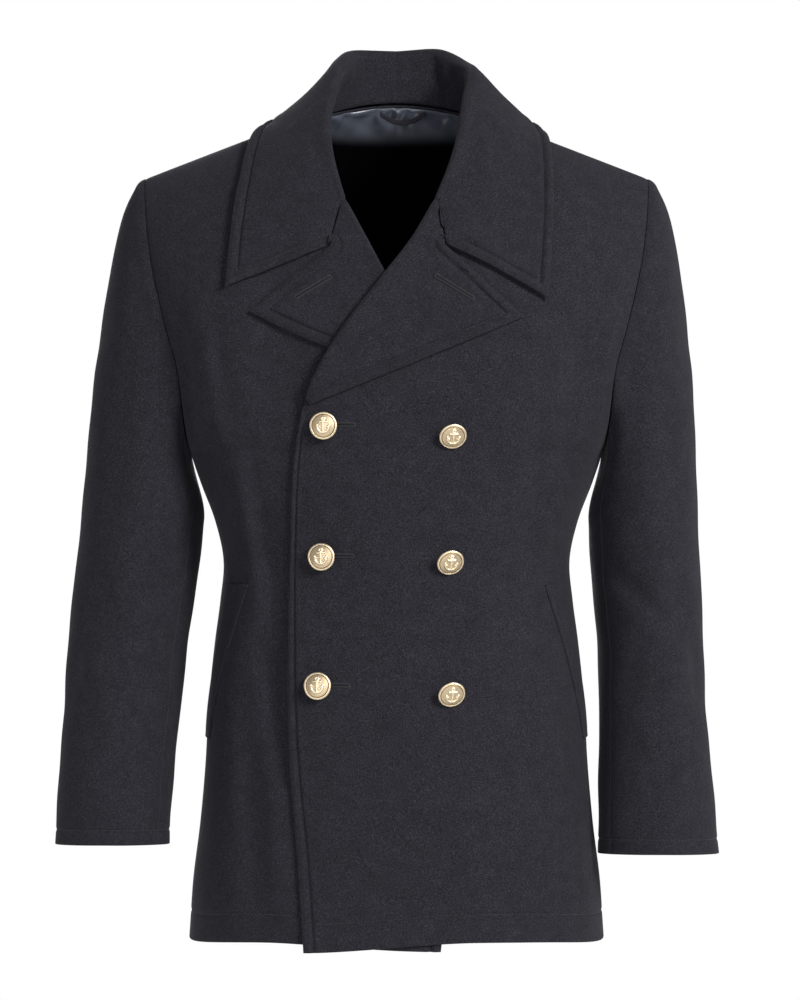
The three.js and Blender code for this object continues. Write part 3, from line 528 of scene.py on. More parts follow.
@dataclass(frozen=True)
class Body:
    """The form of the coat's body. x is always positive towards the quarter's own side."""

    neck_half: float = 82
    neck_back_y: float = 72
    neck_back_z: float = 19
    shoulder_slope: float = 0.38
    tip_half: float = 240
    tip_y: float = 5
    tip_z: float = -60
    underarm_z: float = -322
    armhole_depth: float = 78
    armhole_curve_z: float = -245
    chest_z: float = -220
    chest_round: float = 1.7
    bust_power: float = 2.5
    hem_front_z: float = -772
    hem_drop: float = 11
    half: Curve = Curve(BODY_LEVELS, "z", "half")
    front: Curve = Curve(BODY_LEVELS, "z", "front")
    back: Curve = Curve(BODY_LEVELS, "z", "back")
    reach_curve: Curve = Curve(BODY_LEVELS, "z", "reach")

    def reach(self, z: Array) -> Array:
        """How far round to the side a level reaches: 1 below the armhole."""
        return np.minimum(1, self.reach_curve(z))

    def ridge_z(self, facing: int, x: Array) -> Array:
        """Height of the shoulder seam, and between the neck points of the neck seam behind."""
        beyond = np.abs(x) - self.neck_half
        behind = self.neck_back_z * np.maximum(0, 1 - (x / self.neck_half) ** 2) if facing > 0 else 0 * beyond
        return np.where(beyond > 0, -self.shoulder_slope * beyond, behind)

    def ridge_y(self, facing: int, x: Array) -> Array:
        """Depth of the shoulder seam, and between the neck points of the neck seam behind, a half oval."""
        beyond = np.abs(x) - self.neck_half
        behind = self.neck_back_y * np.sqrt(np.maximum(0, 1 - (x / self.neck_half) ** 2)) if facing > 0 else 0 * beyond
        return np.where(beyond > 0, self.tip_y * beyond / (self.tip_half - self.neck_half), behind)

    def full_depth(self, q: Quarter, x: Array, z: Array) -> Array:
        """Depth of the body before it rolls over to the shoulders.

        Between the side's depth and the middle's it follows a superellipse's crown, plus the folds, less the inset
        of the under front. Cloth's slow unevenness is added on top.
        """
        reach = self.reach(z)
        share = np.minimum(reach, reach * np.abs(x) / self.half(z))
        middle = self.front(z) if q.facing < 0 else self.back(z)
        low = np.clip((self.armhole_curve_z - z) / (self.armhole_curve_z - self.underarm_z), 0, 1)
        side = self.armhole_depth * np.sqrt(1 - low * low)
        power = self.bust_power
        crown = lambda s: np.maximum(0, 1 - s**power) ** (1 / power)
        rounded = (crown(share) - crown(reach)) / (1 - crown(reach))
        folds = sum(fold.height(x, z) for fold in q.folds) + 0.9 * uneven(x * q.side, z, 88)
        return side + (middle - side) * rounded + folds * smooth(0, 0.25, rounded) - q.inset(x, z)

    def start_y(self, q: Quarter, x: Array, z: Array) -> Array:
        """Depth of the plane that the body's depth is measured from, which leads up to the shoulder seam."""
        return self.tip_y + (self.ridge_y(q.facing, x) - self.tip_y) * smooth(-500, self.chest_z, z)

    def y(self, q: Quarter, x: Array, z: Array) -> Array:
        """Depth of the body's outside, which rolls over to the shoulder as a superellipse above the chest."""
        top = self.ridge_z(q.facing, x)
        rise = np.clip((z - self.chest_z) / (top - self.chest_z), 0, 1)
        start = self.start_y(q, x, z)
        depth = self.full_depth(q, x, z) - q.facing * (start - self.tip_y)
        return start + q.facing * depth * (1 - rise**self.chest_round) ** (1 / self.chest_round)

    def point(self, q: Quarter, x: Array, z: Array, lift: float | Array = 0.0) -> Array:
        """A place on the body seen from the front or back, lifted off it along its normal."""
        y = self.y(q, x, z)
        dx = (self.y(q, x + 1, z) - self.y(q, x - 1, z)) / 2
        dz = (self.y(q, x, z + 0.5) - self.y(q, x, z - 1.5)) / 2
        normal = unit(vectors(-dx, np.ones_like(y), -dz)) * q.facing
        placed = vectors(x, y + q.facing * SEAM_GAP / 2, z) + normal * np.asarray(lift)[..., None]
        return placed * (q.side, 1, 1)

    def normal(self, q: Quarter, x: Array, z: Array) -> Array:
        """The body's outward normal at a place."""
        return unit(self.point(q, x, z, 1.0) - self.point(q, x, z, 0.0))

    def clear(self, q: Quarter, p: Array, lift: float) -> Array:
        """Moves points that are too near the body out from the chest's middle until they are the lift away."""
        x, z = p[..., 0] * q.side, p[..., 2]
        height = self.ridge_z(q.facing, x) + 1.07 * lift - self.chest_z
        rise = np.maximum(0, (z - self.chest_z) / height)
        start = self.ridge_y(q.facing, x)
        depth = self.full_depth(q, x, z) - q.facing * (start - self.tip_y) + lift
        out = (p[..., 1] - start) / depth
        far = (np.abs(out) ** self.chest_round + rise**self.chest_round) ** (1 / self.chest_round)
        safe = np.maximum(far, 0.2)
        moved = vectors(
            p[..., 0], start + out / safe * depth, np.where(rise > 0, self.chest_z + rise / safe * height, z)
        )
        keep = (far >= 1) | (far < 0.2)
        return np.where(keep[..., None], p, moved)

    def hem_z(self, q: Quarter, x: Array) -> Array:
        """Height of the hem: level behind, and in front a little higher at the middle, with the corner dropped."""
        if q.facing > 0:
            return np.full_like(x, self.hem_front_z - self.hem_drop)
        side = np.minimum(1, np.abs(x) / 196) ** 4
        start, end, drop = q.corner_drop
        return self.hem_front_z - self.hem_drop * side - drop * smooth(start, end, x)

    def top_z(self, q: Quarter, x: Array) -> Array:
        """Height of a quarter's top line: shoulder seam, then neck seam, then in front the roll line."""
        ridge = self.ridge_z(q.facing, x)
        if q.facing > 0:
            return ridge
        gorge = q.roll[-1]
        neck = gorge.z * (self.neck_half - x) / (self.neck_half - gorge.x)
        roll = Curve(q.roll, "x", "z")(x)
        return np.where(x >= self.neck_half, ridge, np.where(x >= gorge.x, neck, roll))

    def angle(self, x: Array, z: Array) -> Array:
        """How far round the body a place is: 0 in the middle, 90 degrees at the side seam."""
        share = np.minimum(1, np.abs(x) * self.reach(z) / self.half(z))
        return np.sign(x) * np.arcsin(share ** (self.bust_power / 2))

    def inner_x(self, q: Quarter, z: Array) -> Array:
        """Where a quarter's inner edge runs: the front edge, or the middle of the back."""
        return Curve(q.edge, "z", "x")(z) if q.edge else np.full_like(np.asarray(z, float), SEAM_GAP / 2)

    def column_x(self, q: Quarter, s: Array, z: Array) -> Array:
        """x of a column at a height: even steps of angle from the side (0) to the inner edge (1)."""
        half = self.half(z)
        outer = self.angle(half, z)
        angle = outer + (self.angle(self.inner_x(q, z), z) - outer) * s
        return np.sign(angle) * half / self.reach(z) * np.abs(np.sin(angle)) ** (2 / self.bust_power)

    def quarter_points(self, q: Quarter, shares: Array, columns: Array) -> Array:
        """The grid of a quarter: columns of even share between its hem and its top line."""
        top = np.full_like(columns, self.tip_z)
        for _ in range(14):
            top = self.top_z(q, self.column_x(q, columns, top))
        low = self.hem_z(q, self.column_x(q, columns, np.full_like(columns, self.hem_front_z)))
        z = low + (top - low) * shares[:, None]
        x = self.column_x(q, columns, z)
        y = self.y(q, x, z) + q.facing * SEAM_GAP / 2
        return vectors(x * q.side, y, z)

    def column_shares(self, q: Quarter, x: Array) -> Array:
        """The columns that end at the given places of a quarter's top line."""
        z = self.top_z(q, x)
        outer, at, inner = (self.angle(v, z) for v in (self.half(z), x, self.inner_x(q, z)))
        return (outer - at) / (outer - inner)


BODY = Body()


# Sewing


@dataclass(frozen=True)
class Stitching:
    """A line of machine stitches in thread of the cloth's own colour, half sunk in the cloth."""

    pitch: float = 3.4
    length: float = 2.6
    radius: float = 0.34
    sunk: float = 0.05

    def mesh(self, lines: Sequence[tuple[Array, Array]]) -> tuple[Array, Array]:
        """One closed grain of thread for each stitch: a stretched ball whose rings follow a half sine.

        Args:
            lines: each line's points and the cloth's normals there.

        Returns:
            Vertices and faces of all stitches.
        """
        places = [self.places(points, normals) for points, normals in lines]
        centre, ahead, up = (np.concatenate(part) for part in zip(*places))
        side = np.cross(up, ahead)
        ring, spoke = np.linspace(0, np.pi, 6), np.linspace(0, 2 * np.pi, 6, endpoint=False)
        ring[[0, -1]] = 0.08, np.pi - 0.08
        shift = -np.cos(ring)[:, None] * self.length / 2 + 0 * spoke
        across = np.sin(ring)[:, None] * np.cos(spoke) * self.radius
        high = np.sin(ring)[:, None] * np.sin(spoke) * self.radius - self.sunk
        grain = sum(
            part[None, :, :, None] * way[:, None, None]
            for part, way in ((shift, ahead), (across, side), (high, up))
        )
        vertices = grain + centre[:, None, None]
        faces = tube_faces(len(ring), len(spoke), capped=True)
        offsets = np.arange(len(centre))[:, None] * len(ring) * len(spoke)
        every = [np.asarray(face) for face in faces]
        quads = np.array([face for face in every if len(face) == 4])
        caps = [face for face in every if len(face) != 4]
        all_quads = (quads[None] + offsets[:, :, None]).reshape(-1, 4).tolist()
        all_caps = [(cap + shift_by).tolist() for cap in caps for shift_by in offsets[:, 0]]
        return vertices.reshape(-1, 3), all_quads + all_caps

    def places(self, points: Array, normals: Array) -> tuple[Array, Array, Array]:
        """Even places along a line, with the line's direction and the cloth's normal at each."""
        length = np.concatenate([[0], np.cumsum(np.linalg.norm(np.diff(points, axis=0), axis=1))])
        at = np.arange(self.pitch / 2, length[-1], self.pitch)
        spread = lambda values, where: np.stack([np.interp(where, length, values[:, k]) for k in range(3)], -1)
        ahead = unit(spread(points, at + 0.8) - spread(points, at - 0.8))
        up = spread(normals, at)
        return spread(points, at), ahead, unit(up - dot(up, ahead) * ahead)


def tube_faces(rings: int, spokes: int, capped: bool) -> list[tuple[int, ...]]:
    """Faces of a tube of rings, counted ring by ring, with an end cap of one face each where asked."""
    a = np.arange(rings * spokes).reshape(rings, spokes)
    b = np.roll(a, -1, axis=1)
    quads = np.stack([a[:-1], a[1:], b[1:], b[:-1]], axis=-1).reshape(-1, 4)
    caps = [tuple(a[0]), tuple(a[-1][::-1])] if capped else []
    return [tuple(quad) for quad in quads[:, ::-1].tolist()] + caps


def list_object(name: str, vertices: Array, faces: list, finish: Material) -> Object:
    """Makes an object whose faces have different numbers of corners."""
    mesh = bpy.data.meshes.new(name)
    mesh.from_pydata((vertices * MM).tolist(), [], faces)
    mesh.polygons.foreach_set("use_smooth", np.ones(len(mesh.polygons), bool))
    mesh.materials.append(finish)
    mesh.update()
    piece = bpy.data.objects.new(name, mesh)
    bpy.context.scene.collection.objects.link(piece)
    return piece


def swelled_edge(distance: Array, stitch: float, swell: float, groove: float) -> Array:
    """The relief of a stitched edge: a padded band at the edge, the stitches' groove and a low swell inside it."""
    band = swell * np.exp(-(((distance - 0.5 * stitch) / (0.42 * stitch)) ** 2))
    line = groove * np.exp(-(((distance - stitch) / 1.5) ** 2))
    inside = 0.35 * swell * np.exp(-(((distance - 1.45 * stitch) / (0.3 * stitch)) ** 2))
    return band - line + inside


# Finishes


def linear(colour: str) -> tuple[float, float, float, float]:
    """An sRGB hex colour as linear red, green, blue and alpha."""
    parts = [int(colour[k : k + 2], 16) / 255 for k in (1, 3, 5)]
    return (*(c / 12.92 if c <= 0.04045 else ((c + 0.055) / 1.055) ** 2.4 for c in parts), 1.0)


def add(tree: bpy.types.NodeTree, kind: str, inputs: dict | None = None, **settings: object) -> bpy.types.Node:
    """Adds a node, sets its own settings, and fills or links its inputs.

    Args:
        tree: the node tree.
        kind: the node's type name.
        inputs: socket name or number to a value, or to the output socket that feeds it.
        settings: the node's own properties.

    Returns:
        The node.
    """
    node = tree.nodes.new(kind)
    for name, value in settings.items():
        setattr(node, name, value)
    for name, value in (inputs or {}).items():
        if isinstance(value, bpy.types.NodeSocket):
            tree.links.new(value, node.inputs[name])
        else:
            node.inputs[name].default_value = value
    return node


def blank(name: str) -> tuple[Material, bpy.types.NodeTree]:
    """A new material with an empty node tree."""
    material = bpy.data.materials.new(name)
    material.use_nodes = True
    material.node_tree.nodes.clear()
    return material, material.node_tree


def finish_tree(tree: bpy.types.NodeTree, shader: dict) -> None:
    """Ends a tree with a Principled shader of the given inputs and the output."""
    principled = add(tree, "ShaderNodeBsdfPrincipled", shader)
    add(tree, "ShaderNodeOutputMaterial", {"Surface": principled.outputs[0]})


def ramp(tree: bpy.types.NodeTree, factor: bpy.types.NodeSocket, *stops: tuple[float, str]) -> bpy.types.NodeSocket:
    """A colour ramp of (place, sRGB hex) stops, and its colour output."""
    node = add(tree, "ShaderNodeValToRGB", {0: factor})
    for element, (place, colour) in zip(node.color_ramp.elements, stops):
        element.position, element.color = place, linear(colour)
    for place, colour in stops[2:]:
        node.color_ramp.elements.new(place).color = linear(colour)
    return node.outputs["Color"]


@dataclass(frozen=True)
class Melton:
    """Fulled and napped wool melton: matt, the weave hidden under short fibres, with a soft sheen at grazing angles.

    The fibres are drawn about 1.1 mm across, coarser than they are, so that the grain shows in the render.
    """

    name: str = "wool_melton"
    dark: str = "#111015"
    middle: str = "#1F1E23"
    light: str = "#33323A"
    lint: str = "#6A696F"
    fibre_mm: float = 1.1
    mottle_mm: float = 14.0
    mottle_share: float = 0.12
    lint_mm: float = 4.2

    def build(self) -> Material:
        """Makes the material."""
        material, tree = blank(self.name)
        place = add(tree, "ShaderNodeTexCoord").outputs["Object"]
        noise = lambda size, detail: add(
            tree, "ShaderNodeTexNoise", {"Vector": place, "Scale": 1 / (size * MM), "Detail": detail, "Roughness": 0.6}
        ).outputs["Fac"]
        fibre, mottle = noise(self.fibre_mm, 3), noise(self.mottle_mm, 2)
        grain = add(
            tree, "ShaderNodeMix", {0: self.mottle_share, 2: fibre, 3: mottle}, data_type="FLOAT"
        ).outputs[0]
        cloth = ramp(tree, grain, (0.32, self.dark), (0.7, self.light), (0.5, self.middle))
        specks = add(tree, "ShaderNodeTexVoronoi", {"Vector": place, "Scale": 1 / (self.lint_mm * MM)})
        near = add(tree, "ShaderNodeMapRange", {0: specks.outputs["Distance"], 1: 0.1, 2: 0.03, 3: 0, 4: 1})
        rare = add(tree, "ShaderNodeSeparateColor", {0: specks.outputs["Color"]})
        some = add(tree, "ShaderNodeMath", {0: rare.outputs[0], 1: 0.9}, operation="GREATER_THAN")
        amount = add(tree, "ShaderNodeMath", {0: near.outputs[0], 1: some.outputs[0]}, operation="MULTIPLY")
        faint = add(tree, "ShaderNodeMath", {0: amount.outputs[0], 1: 0.5}, operation="MULTIPLY")
        colour = add(
            tree, "ShaderNodeMix", {0: faint.outputs[0], 6: cloth, 7: linear(self.lint)}, data_type="RGBA"
        ).outputs[2]
        bump = add(tree, "ShaderNodeBump", {"Height": fibre, "Strength": 0.7, "Distance": 0.4 * MM})
        finish_tree(tree, {
            "Base Color": colour, "Roughness": 0.92, "Specular IOR Level": 0.12, "Sheen Weight": 0.1,
            "Sheen Roughness": 0.45, "Sheen Tint": linear("#B4B3BD"), "Normal": bump.outputs[0],
        })
        return material


@dataclass(frozen=True)
class Satin:
    """Woven rayon satin lining: smooth floats that give it a clear, streaky gloss on every wrinkle."""

    name: str = "rayon_satin"
    bright: str = "#444953"
    # Near black: painted shade for the inside of the body, below the neck.
    dark: str = "#030304"
    painted_shade_top_mm: float = 2.0
    painted_shade_full_mm: float = -22.0

    def build(self) -> Material:
        """Makes the material. Below the neck its blue-grey fades to black without gloss: painted shade inside."""
        material, tree = blank(self.name)
        place = add(tree, "ShaderNodeTexCoord").outputs["Object"]
        height = add(tree, "ShaderNodeSeparateXYZ", {0: place}).outputs[2]
        # Painted shade: from the neck down the satin darkens to near black, where the inside of the body lies in
        # shadow.
        painted_shade_fade = add(tree, "ShaderNodeMapRange", {
            0: height, 1: self.painted_shade_full_mm * MM, 2: self.painted_shade_top_mm * MM, 3: 0.0, 4: 1.0,
        }, interpolation_type="SMOOTHSTEP")
        colour = add(tree, "ShaderNodeMix", {
            0: painted_shade_fade.outputs[0], 6: linear(self.dark), 7: linear(self.bright),
        }, data_type="RGBA")
        weave = add(tree, "ShaderNodeTexNoise", {"Vector": place, "Scale": 900.0, "Detail": 2.0})
        bump = add(tree, "ShaderNodeBump", {"Height": weave.outputs[0], "Strength": 0.15, "Distance": 0.1 * MM})
        # Painted shade also takes the gloss away below the neck: the specular tint fades to black and the roughness
        # rises to 1.
        gloss = add(tree, "ShaderNodeMix", {
            0: painted_shade_fade.outputs[0], 6: linear("#000000"), 7: linear("#FFFFFF"),
        }, data_type="RGBA")
        rough = add(tree, "ShaderNodeMapRange", {0: painted_shade_fade.outputs[0], 3: 1.0, 4: 0.3})
        finish_tree(tree, {
            "Base Color": colour.outputs[2], "Roughness": rough.outputs[0], "Specular IOR Level": 0.7,
            "Specular Tint": gloss.outputs[2], "Normal": bump.outputs[0],
        })
        return material


@dataclass(frozen=True)
class Gilt:
    """Gilt brass, die-struck and lightly rubbed: pale gold with a browner tone left in the hollows."""

    name: str = "gilt_brass"
    bright: str = "#F6E8CA"
    hollow: str = "#8C6C3E"

    def build(self) -> Material:
        """Makes the material. The hollows' colour follows the mesh's own relief attribute."""
        material, tree = blank(self.name)
        relief = add(tree, "ShaderNodeAttribute", attribute_name="relief").outputs["Fac"]
        place = add(tree, "ShaderNodeTexCoord").outputs["Object"]
        rub = add(tree, "ShaderNodeTexNoise", {"Vector": place, "Scale": 700.0, "Detail": 3.0}).outputs[0]
        colour = ramp(tree, relief, (0.1, self.hollow), (0.75, self.bright))
        rough = add(tree, "ShaderNodeMapRange", {0: rub, 1: 0.3, 2: 0.7, 3: 0.4, 4: 0.56})
        bump = add(tree, "ShaderNodeBump", {"Height": rub, "Strength": 0.12, "Distance": 0.05 * MM})
        finish_tree(tree, {
            "Base Color": colour, "Metallic": 1.0, "Roughness": rough.outputs[0], "Normal": bump.outputs[0],
        })
        return material


@dataclass(frozen=True)
class Thread:
    """Spun polyester thread and woven tape in the cloth's colour: a little smoother and glossier than the wool."""

    name: str = "polyester_thread"
    colour: str = "#2B2A30"
    # With slit set the material is near black: the painted shade of a buttonhole's open slit, not thread.
    slit: bool = False

    def build(self) -> Material:
        """Makes the material, with twist drawn as fine noise."""
        material, tree = blank(self.name)
        place = add(tree, "ShaderNodeTexCoord").outputs["Object"]
        twist = add(tree, "ShaderNodeTexNoise", {"Vector": place, "Scale": 2500.0, "Detail": 2.0}).outputs[0]
        # For a slit the tones are near black: painted shade inside the open slit.
        tone = ramp(tree, twist, (0.3, "#060608" if self.slit else "#131217"), (0.7, self.colour))
        finish_tree(tree, {"Base Color": tone, "Roughness": 0.7, "Specular IOR Level": 0.2, "Sheen Weight": 0.15})
        return material


@dataclass(frozen=True)
class Finishes:
    """The garment's materials, each made once."""

    melton: Material
    satin: Material
    gilt: Material
    thread: Material
    slit: Material

    @staticmethod
    def make() -> "Finishes":
        """Builds every material."""
        # The slits' near black material is painted shade inside the open buttonholes.
        slit = Thread("buttonhole_slit_shade", "#040405", slit=True)
        return Finishes(Melton().build(), Satin().build(), Gilt().build(), Thread().build(), slit.build())


# The pieces


@dataclass
class Piece:
    """What every cloth piece has: its node, its finish, and the cut that it was made from."""

    node: str
    finishes: Finishes
    cut: tuple[float, float]
    held: str = "hung"

    def make(self, sheet: Sheet, thickness: float | Array, borders: Borders, slot: str = "melton") -> Object:
        """Makes the piece's wall and lets it stand for its node."""
        finish = self.finishes.satin if slot == "lining" else self.finishes.melton
        piece = mesh_object(f"{self.node}_cloth", *wall(sheet, thickness, borders), finish)
        dress(piece, slot, self.node)
        return piece

    def stitch(self, lines: Sequence[tuple[Array, Array]]) -> Object:
        """Sews lines of stitches on the piece."""
        stitches = list_object(f"{self.node}_stitches", *Stitching().mesh(lines), self.finishes.thread)
        return dress(stitches, "melton")


@dataclass
class Panel(Piece):
    """A front or a back."""

    quarter: Quarter = OVER
    hem_shares: tuple[float, ...] = (0, 0.0002, 0.0007, 0.0015, 0.0026, 0.0042)

    def columns(self) -> Array:
        """Columns that end 3 to 4 mm apart on the top line, and closer by the front edge."""
        q, neck = self.quarter, BODY.neck_half
        if q.facing > 0:
            top = steps((240, 234, 0.8), (234, neck, 4), (neck, 6, 3.4), (6, SEAM_GAP / 2, 1))
        else:
            low, gorge = q.roll[0].x, q.roll[-1].x
            top = steps((240, 234, 0.8), (234, neck, 4), (neck, gorge, 3.4), (gorge, low + 14, 3.2),
                        (low + 14, low + 2.5, 0.9), (low + 2.5, low, 0.42))
        return BODY.column_shares(q, top)

    def rows(self) -> Array:
        """Rows about 3.2 mm apart, closer at the hem's edge, at its stitches and at the top."""
        length = BODY.tip_z - BODY.hem_front_z
        mm = steps((3.3, 20, 2.4), (20, 32, 0.9), (32, length - 12, 3.3), (length - 12, length, 1.2)) / length
        return np.concatenate([self.hem_shares[:-1], mm])

    def build(self) -> None:
        """Makes the panel: its plain form, then the sewn edges' relief, then the wall and the stitches."""
        q = self.quarter
        sheet = Sheet(BODY.quarter_points(q, self.rows(), self.columns()), -q.side * q.facing)
        from_hem = sheet.along(0, False)
        relief = -0.9 * np.exp(-(((from_hem - HEM_STITCH) / 1.7) ** 2)) + 0.35 * smooth(HEM_STITCH, 0, from_hem)
        from_edge = sheet.along(1, True)
        thick = np.full(from_hem.shape, MELTON)
        if q.facing < 0:
            below = smooth(0, 22, sheet.points[..., 2] * -1 + q.roll[0].z)
            relief = relief + below * swelled_edge(from_edge, EDGE_STITCH, 1.5, 1.7)
            thick = thick + 1.1 * below * (1 - smooth(5, 14, from_edge))
        sheet.raise_by(relief)
        edge = Border.ROUND if q.facing < 0 else Border.SEAM
        self.make(sheet, thick, Borders(Border.ROUND, Border.SEAM, Border.SEAM, edge))
        flipped = sheet.turned()
        lines = [flipped.contour(from_hem.T[:, ::-1], HEM_STITCH)]
        if q.facing < 0:
            points, normals = sheet.contour(from_edge, EDGE_STITCH)
            keep = (points[:, 2] < q.roll[0].z - 6) & (points[:, 2] > BODY.hem_front_z + HEM_STITCH)
            lines.append((points[keep], normals[keep]))
        self.stitch(lines)


@dataclass
class Sleeve(Piece):
    """One of the two pieces of a sleeve, cut from the sleeve's whole form between two seams."""

    side: int = 1
    table: tuple[SleeveRow, ...] = SLEEVE_LEFT
    seams: tuple[float, float] = (-75, 147)
    top_z: float = -387

    def armhole(self, angle: Array) -> Array:
        """The armhole's seam line: 0 at the shoulder's tip, 90 degrees in front, 180 under the arm."""
        z = BODY.underarm_z + (BODY.tip_z - BODY.underarm_z) * (1 + np.cos(angle)) / 2
        half = BODY.half(z)
        front, back = (OVER, BACK_LEFT) if self.side > 0 else (UNDER, BACK_RIGHT)
        y = np.where(np.sin(angle) >= 0, BODY.y(front, half, z), BODY.y(back, half, z))
        return vectors(self.side * half, y, z)

    def ring(self, angle: Array, z: Array) -> Array:
        """A place on the sleeve below the armhole: an oval ring, tilted, with the crook of the elbow creased."""
        at = {name: Curve(self.table, "z", name)(z) for name in ("x", "y", "across", "deep", "tilt")}
        ahead, out = np.sin(angle), np.cos(angle)
        crease = 4.5 * np.exp(-(((z + 470 + 45 * out) / 16) ** 2)) * np.maximum(0, ahead)
        return vectors(
            self.side * (at["x"] + at["across"] * out), at["y"] - (at["deep"] - crease) * ahead,
            z + at["tilt"] * ahead,
        )

    def head(self, angle: Array, t: Array) -> Array:
        """A place on the sleeve's head: a cubic from the armhole, first outwards, then down into the top ring."""
        start = self.armhole(angle) + (self.side * 1.6 * SEAM_GAP, 0, 0)
        end = self.ring(angle, np.full_like(angle, self.top_z))
        below = unit(self.ring(angle, np.full_like(angle, self.top_z - 12)) - end)
        whole = end - start
        length = np.linalg.norm(whole, axis=-1, keepdims=True)
        upper = ((1 + np.cos(angle)) / 2)[..., None]
        leave = 0.5 * unit(whole) + (0.12 + 0.7 * upper) * (self.side, 0, 0)
        first = start + unit(leave) * length * (0.3 - 0.19 * upper)
        second = end - below * length * (0.3 + 0.22 * upper)
        k, t = 1 - t[..., None], t[..., None]
        return start * k**3 + first * 3 * k * k * t + second * 3 * k * t * t + end * t**3

    def build(self) -> None:
        """Makes the piece from its part of the form's rings, with creases, seam dips and a stitched cuff."""
        low = self.table[-1].z
        turns = np.radians(steps((self.seams[0] - 3, self.seams[1] + 3, 2.6)))
        t = np.concatenate([[0, 0.004, 0.01, 0.02, 0.034, 0.05], steps((0.07, 1, 0.0125))[:-1]])
        z = steps((self.top_z, low + 18, 3.3), (low + 18, low + 10, 0.9), (low + 10, low + 2.6, 1.6),
                  (low + 2.6, low, 0.4))
        angle, run = np.meshgrid(turns, np.concatenate([t - 1, np.zeros_like(z)]))
        upper = self.head(angle[: len(t)], run[: len(t)] + 1)
        lower = self.ring(angle[len(t):], np.repeat(z[:, None], len(turns), axis=1))
        sheet = Sheet(np.concatenate([upper, lower]), -self.side)
        from_cuff = sheet.along(0, True)
        sheet.raise_by(self.creases(angle, sheet.points) - 0.8 * np.exp(-(((from_cuff - CUFF_STITCH) / 1.5) ** 2)))
        sheet.points, sheet.normals = self.trimmed(sheet.points), self.trimmed(sheet.normals)
        under = (1 - np.cos(self.trimmed(angle)[0])) / 2
        outward = smooth(0.55, 0.9, under)
        sheet.normals[0] = unit(sheet.normals[0] * vectors(outward, np.ones_like(under), np.ones_like(under)))
        self.make(sheet, MELTON, Borders(Border.SEAM, Border.ROUND, Border.SEAM, Border.SEAM))
        flipped = Sheet(sheet.points.transpose(1, 0, 2), self.side)
        self.stitch([flipped.contour(sheet.along(0, True).T, CUFF_STITCH)])

    @staticmethod
    def trimmed(grid: Array) -> Array:
        """A grid without its first and last column, which only served the normals beside the seams."""
        return grid[:, 1:-1]

    def creases(self, angle: Array, points: Array) -> Array:
        """The sleeve's relief: pull lines that run down and round it, the roped head, and slow unevenness."""
        z, degree = points[..., 2], np.degrees(angle)
        rope = 1.6 * np.exp(-(((np.linalg.norm(points - points[:1], axis=-1) - 7) / 6) ** 2)) * (np.cos(angle) > 0)
        pulls = (
            (70, -430, 28, -560, 15, -3.2), (62, -395, 100, -480, 14, 2.4), (40, -470, 95, -590, 16, 2.8),
            (95, -470, 130, -560, 14, -1.8), (20, -250, 55, -360, 26, 2.0), (75, -230, 62, -400, 14, -1.8),
            (100, -300, 85, -420, 16, 1.6), (60, -600, 90, -690, 16, 1.4), (250, -440, 215, -520, 18, 3.0),
            (300, -470, 255, -560, 18, -2.2), (235, -500, 290, -600, 16, 1.8), (270, -300, 250, -400, 18, 1.8),
        )
        total = 0.9 * uneven(degree * 0.9, z, 84) + rope
        for from_degree, from_z, to_degree, to_z, wide, high in pulls:
            fold = Fold((from_degree, from_z), (to_degree, to_z), wide, high)
            total = total + fold.height(np.mod(degree + 60, 360) - 60, z)
        return total * smooth(0, 30, np.linalg.norm(points - points[:1], axis=-1)) + rope * 0.4


